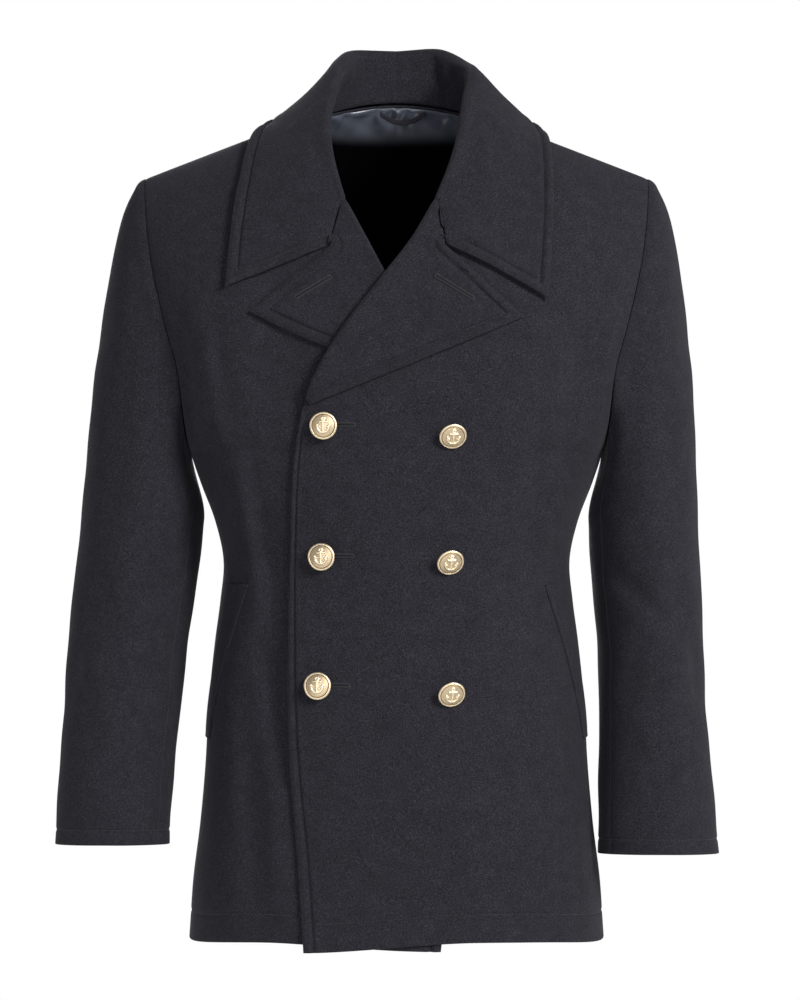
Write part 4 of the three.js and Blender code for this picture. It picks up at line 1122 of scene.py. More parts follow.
@dataclass(frozen=True)
class LapelForm:
    """The corners of a lapel, seen from the front, and how its roll grows from the break to the gorge.

    A section starts on the roll line at a share from the break (0) to the gorge (1). It ends on the outer edge at a
    reach from the break (0) by the point (1) to the notch (2) and on up the gorge (3).
    """

    quarter: Quarter
    notch: tuple[float, float]
    tip: tuple[float, float]
    bend: tuple[float, float]
    rises: tuple[float, float]
    shares: tuple[float, ...] = (
        0.03, 0.09, 0.17, 0.26, 0.36, 0.46, 0.56, 0.64, 0.71, 0.77, 0.81, 0.845, 0.89, 0.945, 1,
    )
    reaches: tuple[float, ...] = (
        0.04, 0.13, 0.25, 0.38, 0.53, 0.69, 0.85, 1, 1.27, 1.55, 1.78, 1.93, 2, 2.06, 2.12,
    )

    def beside(self) -> "LapelForm":
        """The collar's own side of the notch."""
        return replace(self, notch=(self.notch[0] + GORGE_GAP, self.notch[1] + GORGE_GAP))

    def edge(self, reach: Array) -> tuple[Array, Array]:
        """The outer edge: a quadratic curve to the point, straight to the notch, and straight up the gorge."""
        low, gorge = self.quarter.roll[0], self.quarter.roll[-1]
        t, u, w = (np.clip(reach - whole, 0, 1) for whole in (0, 1, 2))
        k = 1 - t

        def part(start: float, over: float, tip: float, notch: float, end: float) -> Array:
            """One of the edge's two parts."""
            return k * k * start + 2 * k * t * over + t * t * tip + (notch - tip) * u + (end - notch) * w

        x = part(low.x, self.bend[0], self.tip[0], self.notch[0], gorge.x)
        z = part(low.z, self.bend[1], self.tip[1], self.notch[1], gorge.z)
        return x, z

    def roll(self, share: Array) -> dict[str, Array]:
        """The roll line at shares from the break to the gorge: seam, crest, direction, radius and size.

        The size is 1 along most of the roll and falls to 0.4 where the lapel begins at the break.
        """
        q = self.quarter
        low, gorge = q.roll[0], q.roll[-1]
        line = Curve(q.roll, "x", "z")

        def place(t: Array) -> Array:
            """A place on the roll line."""
            x = low.x + (gorge.x - low.x) * t
            return BODY.point(q, x, line(x))

        x = low.x + (gorge.x - low.x) * share
        along = unit(place(np.minimum(1, share + 0.03)) - place(np.maximum(0, share - 0.03))) * -q.side
        full = smooth(*self.rises, share)
        size = 0.4 + 0.6 * smooth(0, 0.1, share)
        crest = place(share) + BODY.normal(q, x, line(x)) * (size * (5.2 + 1.4 * full))[:, None]
        return {
            "seam": place(share), "crest": crest, "along": along, "radius": size * (3.6 + 0.6 * full), "size": size,
            "dip": np.zeros_like(share),
        }

    def section(self, share: Array, reach: Array, cuts: "Cuts") -> Array:
        """The lapel's visible face along sections from the roll line to the edge, lying on the front."""
        line = self.roll(share)
        thickness = LAPEL_WALL * line["size"]
        lift = thickness + LAY_GAP
        edge = BODY.point(self.quarter, *self.edge(reach), lift)
        swell = 0.3 * (1 - smooth(0.65, 0.95, share))
        points = turned_sections(line, edge, swell, thickness, cuts)
        return out_of_front(self.quarter, points, lift[:, None], cuts.fall_from)


@dataclass(frozen=True)
class Cuts:
    """Where a turned section's points lie: along its stand, round its roll and down its fall."""

    stand: Array
    roll: Array
    fall: Array

    @property
    def fall_from(self) -> int:
        """The first point of the fall."""
        return len(self.stand) + len(self.roll)


def turned_sections(line: dict[str, Array], edge: Array, swell: Array, thickness: Array, cuts: Cuts) -> Array:
    """Sections across a turned-back piece, on its visible face.

    Each goes straight up from the seam, round the crest on an arc, and down a cubic curve to the outer edge.

    Args:
        line: seam, crest, direction along the piece, radius of the roll, size and dip for each section. The dip says
            by how many degrees the fall leaves the roll steeper than straight, and lands flatter.
        edge: the outer edge's points.
        swell: how far the fall stands out of a straight line as it leaves the roll.
        thickness: of the cloth, for each section.
        cuts: where the points lie.

    Returns:
        A grid with a row for each section.
    """
    seam, crest, along = line["seam"], line["crest"], line["along"]
    radius, size = line["radius"][:, None], line["size"][:, None]
    rise = crest - seam
    up = unit(rise - dot(rise, along) * along)
    out = unit(np.cross(up, along))
    start = seam + out * (STAND_OUT * size - thickness[:, None]) + up * STAND_GAP * size
    least = radius + (STAND_GAP + 0.4) * size
    centre = seam + up * (np.maximum(dot(rise, up), least) - radius) + along * dot(rise, along)
    fall = edge - crest
    dip = np.radians(line["dip"])[:, None]
    last = np.clip(np.arctan2(dot(fall, out), dot(fall, up)) + dip, 0.45 * np.pi, 0.97 * np.pi)
    arc = lambda angle: centre[:, None] + radius[:, None] * (
        up[:, None] * np.sin(angle)[..., None] - out[:, None] * np.cos(angle)[..., None]
    )
    foot = arc(np.zeros((len(seam), 1)))
    stand = start[:, None] + (foot - start[:, None]) * cuts.stand[None, :, None]
    roll = arc(last * cuts.roll)
    head = arc(last)[:, 0]
    reach = edge - head
    length = np.linalg.norm(reach, axis=-1, keepdims=True)
    leave = out * np.sin(last) + up * np.cos(last)
    straight = np.maximum(0, dot(reach, leave) / np.maximum(length, 1e-6))
    first = head + leave * length * np.reshape(swell, (-1, 1)) * straight**2
    outward = up * dot(reach, out) - out * dot(reach, up)
    second = edge - 0.3 * (reach * np.cos(dip) + outward * np.sin(dip))
    t = cuts.fall[None, :, None]
    k = 1 - t
    hang = head[:, None] * k**3 + first[:, None] * 3 * k * k * t + second[:, None] * 3 * k * t * t + edge[:, None] * t**3
    return np.concatenate([stand, roll, hang], axis=1)


def out_of_front(q: Quarter, points: Array, lift: Array, first: int) -> Array:
    """Keeps the fall's points at least the lift in front of the body."""
    fall = points[:, first:]
    least = BODY.point(q, fall[..., 0] * q.side, fall[..., 2], lift)[..., 1]
    moved = fall.copy()
    moved[..., 1] = np.minimum(fall[..., 1], least)
    return np.concatenate([points[:, :first], moved], axis=1)


OVER_LAPEL = LapelForm(OVER, (45, -134), (117, -200), (8, -247), (0, 0.35))
UNDER_LAPEL = LapelForm(UNDER, (61, -134), (136, -195), (56, -236), (0.66, 0.82))


def fall_cuts(length: float) -> Array:
    """Shares of a fall of about the given length: 3 mm steps, then 1 mm near the stitches and closer at the edge."""
    mm = steps((0, length - 17, 3), (length - 17, length - 2.4, 0.95), (length - 2.4, length, 0.4))
    return mm / length


@dataclass
class Lapel(Piece):
    """A turned-back lapel, its facing side out."""

    form: LapelForm = field(default_factory=lambda: OVER_LAPEL)

    def build(self) -> None:
        """Makes the lapel from fine sections, with its stitched edge."""
        form = self.form
        share = np.unique(np.concatenate([steps((0.03, 1, 0.0085)), form.shares]))
        reach = np.interp(share, form.shares, form.reaches)
        cuts = Cuts(np.array([0, 0.5]), np.linspace(0, 1, 11)[:-1], fall_cuts(78))
        points = form.section(share, reach, cuts)
        line = form.roll(share)
        points[-1] += line["along"][-1] * form.quarter.side * GORGE_GAP / 2
        sheet = Sheet(points, -form.quarter.side)
        from_edge = sheet.from_line(points[reach <= 2, -1])
        near_gorge = sheet.along(0, True)
        flat = smooth(0, 1, np.arange(points.shape[1]) - cuts.fall_from + 1)
        relief = flat * swelled_edge(from_edge, EDGE_STITCH, 1.9, 1.9) * smooth(3, 26, near_gorge)
        sheet.raise_by(relief + flat * 0.5 * uneven(points[..., 0], points[..., 2], 60))
        thickness = LAPEL_WALL * np.repeat(line["size"][:, None], points.shape[1], axis=1)
        self.make(sheet, thickness, Borders(Border.ROUND, Border.SEAM, Border.PLAIN, Border.ROUND))
        self.stitch([sheet.contour(from_edge, EDGE_STITCH)])


@dataclass
class Collar(Piece):
    """The collar in one wall: the stand inside the neck, the roll and the fall with its two pointed leaves."""

    lift: float = COLLAR_WALL + 2.5

    def rows(self) -> Array:
        """Stations from the wearer's right gorge (-6) over the middle of the back (0) to the left gorge (6)."""
        half = np.unique(np.concatenate([steps((0, 3, 0.07), (3, 6, 0.024)), [5.0]]))
        return np.concatenate([-half[:0:-1], half])

    def crest(self, at: Array) -> Array:
        """The top of the roll at signed stations."""
        right, left = (
            [Curve(table, "at", name)(np.abs(at)) for name in ("crest_x", "crest_y", "crest_z")]
            for table in (COLLAR_RIGHT, COLLAR_LEFT)
        )
        pick = lambda k: np.where(at < 0, right[k], left[k])
        return vectors(pick(0) * np.where(at < 0, -1, 1), pick(1), pick(2))

    def one_side(self, side: int, at: Array, cuts: Cuts) -> Array:
        """The collar's sections on one side.

        Args:
            side: +1 on the wearer's left.
            at: stations from 0 to 6 on that side.
            cuts: where the sections' points lie.

        Returns:
            A grid with a row for each station.
        """
        table = COLLAR_LEFT if side > 0 else COLLAR_RIGHT
        form = OVER_LAPEL if side > 0 else UNDER_LAPEL
        front = form.quarter
        gorge = {name: value[0] for name, value in form.roll(np.array([1.0])).items()}
        near = smooth(4.6, 6, at)[:, None]
        around = self.crest(side * np.minimum(6, at + 0.3)) - self.crest(side * (at - 0.3))
        along = unit(unit(around) * side * (1 - near) + gorge["along"] * near)
        moved = gorge["crest"] - self.crest(np.array([6.0 * side]))
        crest = self.crest(side * at) + moved * smooth(4.5, 6, at)[:, None]
        radius = Curve(table, "at", "radius")(at) * (1 - near[:, 0]) + gorge["radius"] * near[:, 0]
        seam = self.seam(front, Curve(table, "at", "seam")(at))
        line = {
            "seam": seam, "crest": crest, "along": along, "radius": radius, "size": np.ones_like(at),
            "dip": Curve(table, "at", "dip")(at),
        }
        swell = 0.3 * (1 - smooth(4.9, 5.8, at))
        points = turned_sections(line, self.edge(side, table, at), swell, np.full_like(at, COLLAR_WALL), cuts)
        at_gorge = form.beside().section(np.array([1.0]), np.array([2.0]), cuts)[0]
        at_gorge = at_gorge - gorge["along"] * side * GORGE_GAP / 2
        fall = points[:, cuts.fall_from:]
        for quarter in (OVER, UNDER, BACK_LEFT, BACK_RIGHT):
            x, y = fall[..., 0] * quarter.side, fall[..., 1]
            behind = y > BODY.ridge_y(-1, fall[..., 0])
            mine = (x >= 0) & (behind if quarter.facing > 0 else ~behind)
            fall = np.where(mine[..., None], BODY.clear(quarter, fall, self.lift), fall)
        points = np.concatenate([points[:, : cuts.fall_from], fall], axis=1)
        last = smooth(5.7, 6, at)[:, None, None]
        return points * (1 - last) + at_gorge * last

    @staticmethod
    def seam(front: Quarter, at: Array) -> Array:
        """The neck seam: a half oval behind, and in front straight down to the gorge as seen from the front."""
        turn = np.radians(np.minimum(at, 3) / 3 * 90)
        behind = vectors(
            front.side * BODY.neck_half * np.sin(turn), BODY.neck_back_y * np.cos(turn),
            BODY.neck_back_z * np.cos(turn) ** 2,
        )
        x = BODY.neck_half + (front.roll[-1].x - BODY.neck_half) * np.maximum(0, at - 3) / 3
        z = BODY.top_z(front, x)
        before = vectors(front.side * x, BODY.y(front, x, z), z)
        return np.where((at <= 3)[:, None], behind, before)

    def edge(self, side: int, table: tuple[CollarRow, ...], at: Array) -> Array:
        """The outer edge: a smooth curve to the leaf's point (5), then straight to the notch (6)."""
        rows = []
        for row in table:
            quarter = {(1, True): BACK_LEFT, (1, False): OVER, (-1, True): BACK_RIGHT, (-1, False): UNDER}[
                (side, row.at < 3)
            ]
            z = np.array(row.edge_z)
            y = BODY.y(quarter, np.array(float(row.edge_x)), z - self.lift / 2) + quarter.facing * self.lift
            if row.at == 3:
                z, y = BODY.ridge_z(-1, np.array(float(row.edge_x))) + 1.07 * self.lift, 2.0
            rows.append(EdgePoint(row.at, row.edge_x, float(y), float(z)))
        round_part = [Curve(rows[:-1], "at", name)(np.minimum(at, 5)) for name in ("x", "y", "z")]
        t = np.maximum(0, at - 5)
        tip, notch = rows[-2], rows[-1]
        mixed = [
            np.where(at > 5, getattr(tip, name) * (1 - t) + getattr(notch, name) * t, part)
            for name, part in zip(("x", "y", "z"), round_part)
        ]
        return vectors(side * mixed[0], mixed[1], mixed[2])

    def build(self) -> None:
        """Makes the collar, with its stitched edge and the creases of its stand."""
        at = self.rows()
        cuts = Cuts(np.linspace(0, 1, 13)[:-1], np.linspace(0, 1, 13)[:-1], fall_cuts(92))
        right = self.one_side(-1, -at[at < 0], cuts)
        left = self.one_side(1, at[at >= 0], cuts)
        sheet = Sheet(np.concatenate([right, left]), 1)
        from_edge = sheet.from_line(sheet.points[:, -1])
        column = np.arange(sheet.points.shape[1])
        flat = smooth(0, 3, column - cuts.fall_from)
        from_gorge = np.minimum(sheet.along(0, False), sheet.along(0, True))
        relief = flat * swelled_edge(from_edge, EDGE_STITCH, 1.9, 1.9) * smooth(3, 26, from_gorge)
        relief = relief + flat * 0.6 * uneven(sheet.points[..., 0], sheet.points[..., 2], 70)
        sheet.raise_by(relief + self.creases(sheet.points, column, cuts))
        borders = Borders(Border.SEAM, Border.SEAM, Border.PLAIN, Border.ROUND)
        self.make(sheet, COLLAR_WALL, borders)
        self.stitch([sheet.contour(from_edge, EDGE_STITCH)])

    @staticmethod
    def creases(points: Array, column: Array, cuts: Cuts) -> Array:
        """Soft creases where the stand bends round the neck, on the stand and the roll alone."""
        folds = (
            Fold((35, 62), (44, 16), 5, -2.4), Fold((42, 64), (52, 20), 6, 1.6), Fold((66, 44), (60, 12), 5, -2.0),
            Fold((-54, 58), (-50, 14), 7, -1.6), Fold((-46, 60), (-40, 20), 6, 1.2), Fold((0, 66), (4, 22), 16, 0.8),
        )
        inner = 1 - smooth(cuts.fall_from - 3, cuts.fall_from + 4, column)
        behind = smooth(0, 24, points[..., 1])
        return inner * behind * sum(fold.height(points[..., 0], points[..., 2]) for fold in folds)


@dataclass(frozen=True)
class EdgePoint:
    """A point of the collar's outer edge at a station."""

    at: float
    x: float
    y: float
    z: float


@dataclass
class Welt(Piece):
    """A slanted pocket welt, lying on a front between two angles round the body."""

    quarter: Quarter = OVER
    top: float = -446
    bottom: float = -592
    front_turns: tuple[float, float] = (52, 74)
    back_turns: tuple[float, float] = (67, 85)
    thickness: float = 2.2
    lift: float = 1.6

    def build(self) -> None:
        """Makes the welt from even steps of height and angle, with a stitched front edge and ends."""
        down = steps((0, 0.02, 0.003), (0.02, 0.98, 0.02), (0.98, 1, 0.003))[:, None]
        back = steps((0, 0.1, 0.012), (0.1, 0.9, 0.06), (0.9, 1, 0.012))[None, :]
        z = self.top + (self.bottom - self.top) * down + 0 * back
        front_turn = self.front_turns[0] + (self.front_turns[1] - self.front_turns[0]) * down
        back_turn = self.back_turns[0] + (self.back_turns[1] - self.back_turns[0]) * down
        turn = np.radians(front_turn + (back_turn - front_turn) * back)
        x = BODY.half(z) * np.sin(turn) ** (2 / BODY.bust_power)
        sheet = Sheet(BODY.point(self.quarter, x, z, self.lift), self.quarter.side)
        edges = np.minimum.reduce([sheet.along(0, False), sheet.along(0, True), sheet.along(1, False)])
        sheet.raise_by(-0.6 * np.exp(-(((edges - 5) / 1.0) ** 2)))
        self.make(sheet, self.thickness, Borders(Border.ROUND, Border.ROUND, Border.ROUND, Border.ROUND))
        flipped = Sheet(sheet.points[:, ::-1], -sheet.turn)
        self.stitch([flipped.contour(sheet.along(1, False)[:, ::-1], 5)])


@dataclass
class Lining(Piece):
    """The part of the satin lining that shows inside the neck, puckered where it is sewn in."""

    below: float = MELTON + 0.9
    from_share: float = 0.77

    def half(self, q: Quarter) -> Array:
        """The back's own points inside the neck, moved in."""
        rows = steps((self.from_share, 0.95, 0.006), (0.95, 1, 0.0022))
        top = steps((126, BODY.neck_half, 3), (BODY.neck_half, SEAM_GAP / 2, 1.6))
        sheet = Sheet(BODY.quarter_points(q, rows, BODY.column_shares(q, top)), -q.side)
        sheet.normals[:, -1] = unit(sheet.normals[:, -1] * (0, 1, 1))
        return sheet.points - sheet.normals * self.below

    def build(self) -> None:
        """Makes the lining in one wall across both halves of the back, with wrinkles below the neck seam."""
        right, left = self.half(BACK_RIGHT), self.half(BACK_LEFT)
        sheet = Sheet(np.concatenate([right[:, :-1], left[:, ::-1]], axis=1), 1)
        sheet.points = sheet.points - sheet.normals * SATIN
        inner = Sheet(sheet.points, -1)
        x, down = inner.points[..., 0], inner.along(0, True)
        strength = np.exp(-((down / 26) ** 2))
        wave = np.sin(x / 3.1 + 1.7 * np.sin(x / 9) + down / 7) + 0.7 * np.sin(x / 5.3 - down / 5 + 2)
        inner.raise_by(strength * (1.3 * wave + 1.6) * smooth(0, 5, down))
        self.make(inner, SATIN, Borders(Border.PLAIN, Border.PLAIN, Border.PLAIN, Border.PLAIN), "lining")


@dataclass
class Loop(Piece):
    """The hanger loop: a short tape that bows away from the back of the neck between its two sewn ends."""

    start: float = -16
    end: float = 28
    z: float = 12
    sag: float = 9
    wide: float = 5
    thick: float = 1.4
    inside: float = 2.6
    bow: float = 2.5

    def build(self) -> None:
        """Makes the tape along a parabola between its ends."""
        t, w = np.meshgrid(steps((0, 1, 0.02)), np.array([0, 0.08, 0.2, 0.5, 0.8, 0.92, 1]), indexing="ij")
        x = self.start + (self.end - self.start) * t
        sag = 4 * t * (1 - t)
        y = BODY.ridge_y(1, x) - self.inside - self.bow * sag
        sheet = Sheet(vectors(x, y, self.z - self.sag * sag - self.wide * w), 1)
        self.make(sheet, self.thick, Borders(Border.PLAIN, Border.PLAIN, Border.ROUND, Border.ROUND))


class Worn(Enum):
    """How a button hangs: held through its buttonhole, or sewn on for show and drooping on its shank."""

    FASTENED = "fastened"
    SHOW = "show"


@dataclass
class Button:
    """A gold domed shank button with a rope rim and an upright anchor."""

    name: str
    worn: Worn
    place: tuple[float, float]
    droop: float
    turn: float
    finishes: Finishes
    radius: float = 12.7
    seat: float = 5.5
    gap: float = 0.5
    anchor_high: float = 0.95

    def frame(self) -> tuple[Array, Array, Array, Array]:
        """The button's middle and its right, up and outward directions, as the front and its shank hold it."""
        x, z = np.array(float(self.place[0])), np.array(float(self.place[1]))
        ground = BODY.point(OVER, x, z, self.seat + self.gap)
        normal = BODY.normal(OVER, x, z)
        droop, turn = (math.radians(a) if self.worn is Worn.SHOW else 0.0 for a in (self.droop, self.turn))
        tip = np.array([[1, 0, 0], [0, math.cos(droop), -math.sin(droop)], [0, math.sin(droop), math.cos(droop)]])
        spin = np.array([[math.cos(turn), -math.sin(turn), 0], [math.sin(turn), math.cos(turn), 0], [0, 0, 1]])
        out = unit(spin @ (tip @ normal))
        right = unit(np.cross((0, 0, 1), out))
        lift = 1.2 if self.worn is Worn.SHOW else 0.0
        middle = ground + normal * (lift - self.seat) + out * self.seat
        return middle, right, unit(np.cross(out, right)), out

    @staticmethod
    def stroke(u: Array, v: Array, a: tuple[float, float], b: tuple[float, float], wide: float) -> Array:
        """Height of a rounded bar from a to b: 1 on its line, falling to 0 at its width."""
        d = (b[0] - a[0], b[1] - a[1])
        t = np.clip(((u - a[0]) * d[0] + (v - a[1]) * d[1]) / (d[0] ** 2 + d[1] ** 2), 0, 1)
        return 1 - smooth(0.35 * wide, wide, np.hypot(u - a[0] - t * d[0], v - a[1] - t * d[1]))

    def anchor(self, u: Array, v: Array) -> Array:
        """Height of an upright anchor: ring, stock, shank and two arms on an arc that end in flukes."""
        bar = self.stroke
        ring = 1 - smooth(0.3, 0.85, np.abs(np.hypot(u, v - 5.9) - 1.25))
        angle = np.arctan2(u, -(v + 0.6))
        arms = (1 - smooth(0.35, 1.0, np.abs(np.hypot(u, v + 0.6) - 4.9))) * (np.abs(angle) < 1.25)
        flukes = [bar(u, v, (s * 4.7, -2.1), (s * 5.1, 0.4), 1.15) for s in (-1, 1)]
        barbs = [bar(u, v, (s * 4.9, -0.2), (s * 3.4, -1.0), 0.85) for s in (-1, 1)]
        whole = [ring, arms, bar(u, v, (0, 4.7), (0, -5.6), 0.95), bar(u, v, (-3.1, 3.6), (3.1, 3.6), 0.9)]
        return np.maximum.reduce([*whole, *flukes, *barbs])

    def build(self) -> None:
        """Makes the button as a lathe profile whose dome carries the anchor and whose rim carries a twisted rope."""
        rim = steps((0, 9.6, 0.26), (9.6, self.radius, 0.15))
        spokes = np.linspace(0, 2 * np.pi, 144, endpoint=False)
        rho, theta = np.meshgrid(rim, spokes, indexing="ij")
        dome = 3.7 - 2.0 * (rho / 10.3) ** 2
        rope_at = np.clip((rho - 11.6) / 0.95, -1, 1)
        rope = 0.75 * np.sqrt(1 - rope_at**2) * (1 + 0.14 * np.sin(44 * theta + 2.6 * rope_at))
        high = np.where(rho < 10.4, dome, 1.3 - 0.3 * (rho - 10.4)) + rope
        anchor = self.anchor(0.9 * rho * np.sin(theta), 0.9 * rho * np.cos(theta)) * (rho < 10)
        high = high + self.anchor_high * anchor
        back_r = np.array([12.6, 11.1, 2.6, 2.6, 0.15])
        back_h = np.array([0.35, -0.4, -0.6, -self.seat, -self.seat])
        br, bt = np.meshgrid(back_r, spokes, indexing="ij")
        u = np.concatenate([rho * np.sin(theta), br * np.sin(bt)])
        v = np.concatenate([rho * np.cos(theta), br * np.cos(bt)])
        w = np.concatenate([high, np.repeat(back_h[:, None], len(spokes), axis=1)])
        u[0], v[0] = 0.05 * np.sin(spokes), 0.05 * np.cos(spokes)
        middle, right, up, out = self.frame()
        points = middle + u[..., None] * right + v[..., None] * up + w[..., None] * out
        faces = tube_faces(points.shape[0], len(spokes), capped=True)
        piece = list_object(f"{self.name}_gilt", points.reshape(-1, 3), faces, self.finishes.gilt)
        relief = np.concatenate([
            np.clip(0.42 + 0.5 * anchor + 0.3 * rope - 0.4 * (np.abs(rho - 10.5) < 0.4), 0, 1),
            np.full(br.shape, 0.3),
        ])
        layer = piece.data.attributes.new("relief", "FLOAT", "POINT")
        layer.data.foreach_set("value", relief.ravel())
        dress(piece, "gilt", self.name)


@dataclass
class Buttonhole:
    """A worked buttonhole: a slit with a raised rim of wrapped thread, an eye at one end and a bar at the other."""

    name: str
    eye: tuple[float, float]
    bar: tuple[float, float]
    lift: float
    quarter: Quarter
    finishes: Finishes
    eye_radius: float = 1.7
    half: float = 1.35
    cord: float = 0.75

    def outline(self) -> tuple[Array, Array]:
        """The rim's path along and across the slit: round the eye, along both sides, and over the bar's end."""
        length = math.dist(self.eye, self.bar)
        start = math.asin(min(1.0, self.half / self.eye_radius))
        turn = np.linspace(start, 2 * np.pi - start, 26)
        run = np.linspace(self.eye_radius * math.cos(start), length, 60)
        end = np.linspace(-np.pi / 2, np.pi / 2, 9)[1:-1]
        along = np.concatenate([self.eye_radius * np.cos(turn), run, length + self.half * np.cos(end), run[::-1]])
        across = np.concatenate([
            self.eye_radius * np.sin(turn), np.full_like(run, -self.half), self.half * np.sin(end),
            np.full_like(run, self.half),
        ])
        return along, across

    def ground(self, along: Array, across: Array, lift: float) -> Array:
        """Places on the cloth from distances along and across the slit."""
        ahead = np.array([self.bar[0] - self.eye[0], self.bar[1] - self.eye[1]])
        ahead = ahead / np.linalg.norm(ahead)
        x = self.eye[0] + along * ahead[0] - across * ahead[1]
        z = self.eye[1] + along * ahead[1] + across * ahead[0]
        return BODY.point(self.quarter, x, z, self.lift + lift)

    def build(self) -> None:
        """Makes the rim as a closed tube whose radius ripples with each wrap of thread, and the slit's painted shade.
        """
        along, across = self.outline()
        path = self.ground(along, across, 0.15)
        ahead = unit(np.roll(path, -1, axis=0) - np.roll(path, 1, axis=0))
        up = unit(self.ground(along, across, 1.15) - path)
        side = unit(np.cross(up, ahead))
        spoke = np.linspace(0, 2 * np.pi, 8, endpoint=False)
        ripple = self.cord * (1 + 0.16 * np.cos(np.pi * np.arange(len(path))))
        ring = path[:, None] + ripple[:, None, None] * (
            np.cos(spoke)[:, None] * side[:, None] + np.sin(spoke)[:, None] * up[:, None]
        )
        count, spokes = len(path), len(spoke)
        a = np.arange(count * spokes).reshape(count, spokes)
        b, c = np.roll(a, -1, axis=0), np.roll(a, -1, axis=1)
        faces = np.stack([a, b, np.roll(b, -1, axis=1), c], axis=-1).reshape(-1, 4)
        rim = mesh_object(f"{self.name}_rim", ring.reshape(-1, 3), faces, self.finishes.thread)
        dress(rim, "melton")
        self.slit()

    def slit(self) -> None:
        """Makes the slit as a thin dark lens between the rim's two sides: painted shade inside the open slit."""
        length = math.dist(self.eye, self.bar)
        run, cross = np.meshgrid(np.linspace(0, length, 24), np.linspace(-1, 1, 5), indexing="ij")
        wide = 0.6 * self.half
        front = self.ground(run, cross * wide, 0.45)
        back = self.ground(run, cross * wide, -0.1)
        # The dark lens is painted shade, standing where the open slit lies in shadow.
        dark = mesh_object(f"{self.name}_slit", *closed(front, back, -self.quarter.side), self.finishes.slit)
        dress(dark, "melton")


# Studio


@dataclass(frozen=True)
class Studio:
    """A pale floor under the coat, soft lights before it, and the camera straight in front at chest height."""

    middle_x: float = 3.3
    height: float = -367.5
    distance: float = 3000.0
    view_high: float = 955.0
    sensor: float = 36.0
    floor_z: float = -1150.0

    def light(self, name: str, place: tuple[float, float, float], size: float, power: float, tint: str) -> None:
        """Adds a square soft light that faces the coat's middle."""
        lamp = bpy.data.lights.new(name, "AREA")
        lamp.size, lamp.energy, lamp.color = size, power, linear(tint)[:3]
        holder = bpy.data.objects.new(name, lamp)
        start, end = np.array(place), np.array([0, 0, self.height * MM])
        holder.location = place
        holder.rotation_euler = Vector(end - start).to_track_quat("-Z", "Y").to_euler()
        bpy.context.scene.collection.objects.link(holder)

    def build(self) -> None:
        """Makes the camera, the lights, the white surround and the floor."""
        scene = bpy.context.scene
        scene.view_settings.view_transform = "Standard"
        lens = bpy.data.cameras.new("camera")
        lens.sensor_width, lens.lens = self.sensor, self.sensor * self.distance / self.view_high
        lens.clip_start, lens.clip_end = 0.1, 50.0
        camera = bpy.data.objects.new("camera", lens)
        camera.location = (self.middle_x * MM, -self.distance * MM, self.height * MM)
        camera.rotation_euler = (math.pi / 2, 0, 0)
        scene.collection.objects.link(camera)
        scene.camera = camera
        self.light("key", (2.1, -2.5, 1.2), 1.1, 158, "#FFFFFF")
        self.light("fill", (-0.5, -3.2, -0.5), 1.8, 38, "#FDFCFF")
        self.light("back", (-0.4, 3.2, 0.6), 1.6, 95, "#FFFFFF")
        self.light("side_left", (-3.2, 0.5, 0.3), 1.4, 18, "#FFFFFF")
        self.light("side_right", (3.2, 0.5, 0.3), 1.4, 22, "#FFFFFF")
        self.surround()
        self.floor()

    @staticmethod
    def surround() -> None:
        """A white surround, which the camera sees at full brightness and which lights the coat only softly."""
        world = bpy.data.worlds.new("white_surround")
        bpy.context.scene.world = world
        world.use_nodes = True
        tree = world.node_tree
        tree.nodes.clear()
        seen = add(tree, "ShaderNodeLightPath").outputs["Is Camera Ray"]
        strength = add(tree, "ShaderNodeMapRange", {0: seen, 3: 0.24, 4: 1.0}).outputs[0]
        glow = add(tree, "ShaderNodeBackground", {"Color": (1, 1, 1, 1), "Strength": strength})
        add(tree, "ShaderNodeOutputWorld", {"Surface": glow.outputs[0]})

    def floor(self) -> None:
        """A round pale floor, wide enough for the coat's own light and clear of the picture."""
        turn = np.linspace(0, 2 * np.pi, 64, endpoint=False)
        rim = vectors(1800 * np.cos(turn), 1800 * np.sin(turn), np.full_like(turn, self.floor_z))
        low = rim - (0, 0, 20)
        faces = tube_faces(2, 64, capped=True)
        material, tree = blank("painted_studio_floor")
        place = add(tree, "ShaderNodeTexCoord").outputs["Object"]
        cloud = add(tree, "ShaderNodeTexNoise", {"Vector": place, "Scale": 3.0}).outputs[0]
        finish_tree(tree, {"Base Color": ramp(tree, cloud, (0.3, "#F0F0EF"), (0.7, "#F4F4F3")), "Roughness": 0.9})
        floor = list_object("studio_floor", np.concatenate([low, rim]), faces, material)


# Assembly


BUTTON_ROWS = (
    ("upper", (-66, -299.5), (50.5, -306.5), 26, 1),
    ("middle", (-67.5, -419.5), (48, -422), 26, 6),
    ("lower", (-71, -538), (49, -542.5), 29, 6),
)


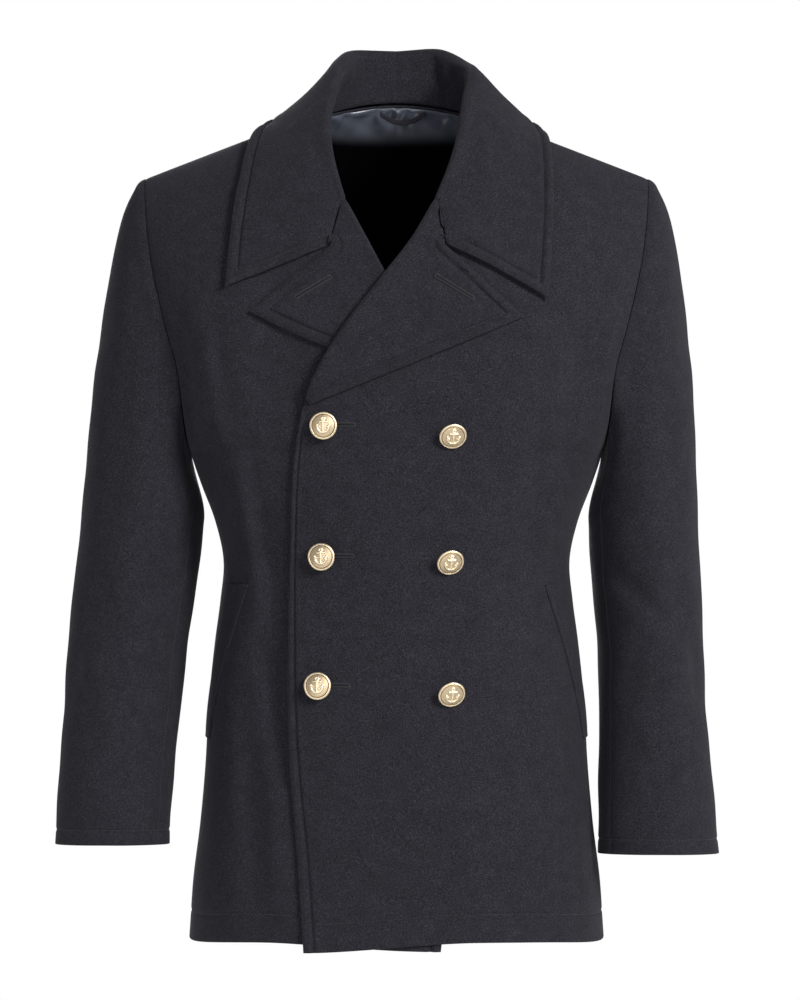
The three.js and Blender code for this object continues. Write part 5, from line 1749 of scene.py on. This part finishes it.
def cloth_pieces(finishes: Finishes) -> list[Piece]:
    """Every cloth piece with the size that it was cut to, in metres."""
    fore, hind = 147, 285
    pieces: list[Piece] = [
        Panel("front_left", finishes, (0.46, 0.86), quarter=OVER),
        Panel("front_right", finishes, (0.43, 0.86), quarter=UNDER),
        Panel("back_left", finishes, (0.33, 0.88), quarter=BACK_LEFT),
        Panel("back_right", finishes, (0.33, 0.88), quarter=BACK_RIGHT),
        Collar("collar", finishes, (0.62, 0.17), "folded"),
        Lapel("lapel_left", finishes, (0.27, 0.13), "folded", form=OVER_LAPEL),
        Lapel("lapel_right", finishes, (0.27, 0.13), "folded", form=UNDER_LAPEL),
        Welt("welt_left", finishes, (0.05, 0.16), "laid", quarter=OVER),
        Welt("welt_right", finishes, (0.05, 0.16), "laid", quarter=UNDER),
        Lining("lining_back", finishes, (0.34, 0.26)),
        Loop("hanger_loop", finishes, (0.012, 0.055)),
    ]
    for word, side, table in (("left", 1, SLEEVE_LEFT), ("right", -1, SLEEVE_RIGHT)):
        upper = Sleeve(f"sleeve_upper_{word}", finishes, (0.3, 0.69), side=side, table=table, seams=(hind - 360, fore))
        under = Sleeve(f"sleeve_under_{word}", finishes, (0.2, 0.58), side=side, table=table, seams=(fore, hind))
        pieces += [upper, under]
    return pieces


def buttonholes(finishes: Finishes) -> list[Buttonhole]:
    """The lapels' slanted keyhole buttonholes and the three that the fastened buttons pass through."""
    lapel_lift = LAPEL_WALL + LAY_GAP
    return [
        Buttonhole("hole_lapel_left", (37, -164), (69, -183), lapel_lift, OVER, finishes),
        Buttonhole("hole_lapel_right", (61.5, -164), (91.5, -182), lapel_lift, UNDER, finishes),
        *(
            Buttonhole(f"hole_{name}", (x - 4, z + 1), (x + 27, z + 1), 0.0, OVER, finishes)
            for name, (x, z), _show, _droop, _turn in BUTTON_ROWS
        ),
    ]


def main() -> None:
    """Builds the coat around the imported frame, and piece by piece."""
    logging.basicConfig(level=logging.INFO, format="%(name)s: %(message)s")
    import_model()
    finishes = Finishes.make()
    for piece in cloth_pieces(finishes):
        piece.build()
    for name, fastened, show, droop, turn in BUTTON_ROWS:
        Button(f"button_{name}_fastened", Worn.FASTENED, fastened, droop, turn, finishes).build()
        Button(f"button_{name}_show", Worn.SHOW, show, droop, turn, finishes).build()
    for hole in buttonholes(finishes):
        hole.build()
    Studio().build()


if __name__ == "__main__":
    main()
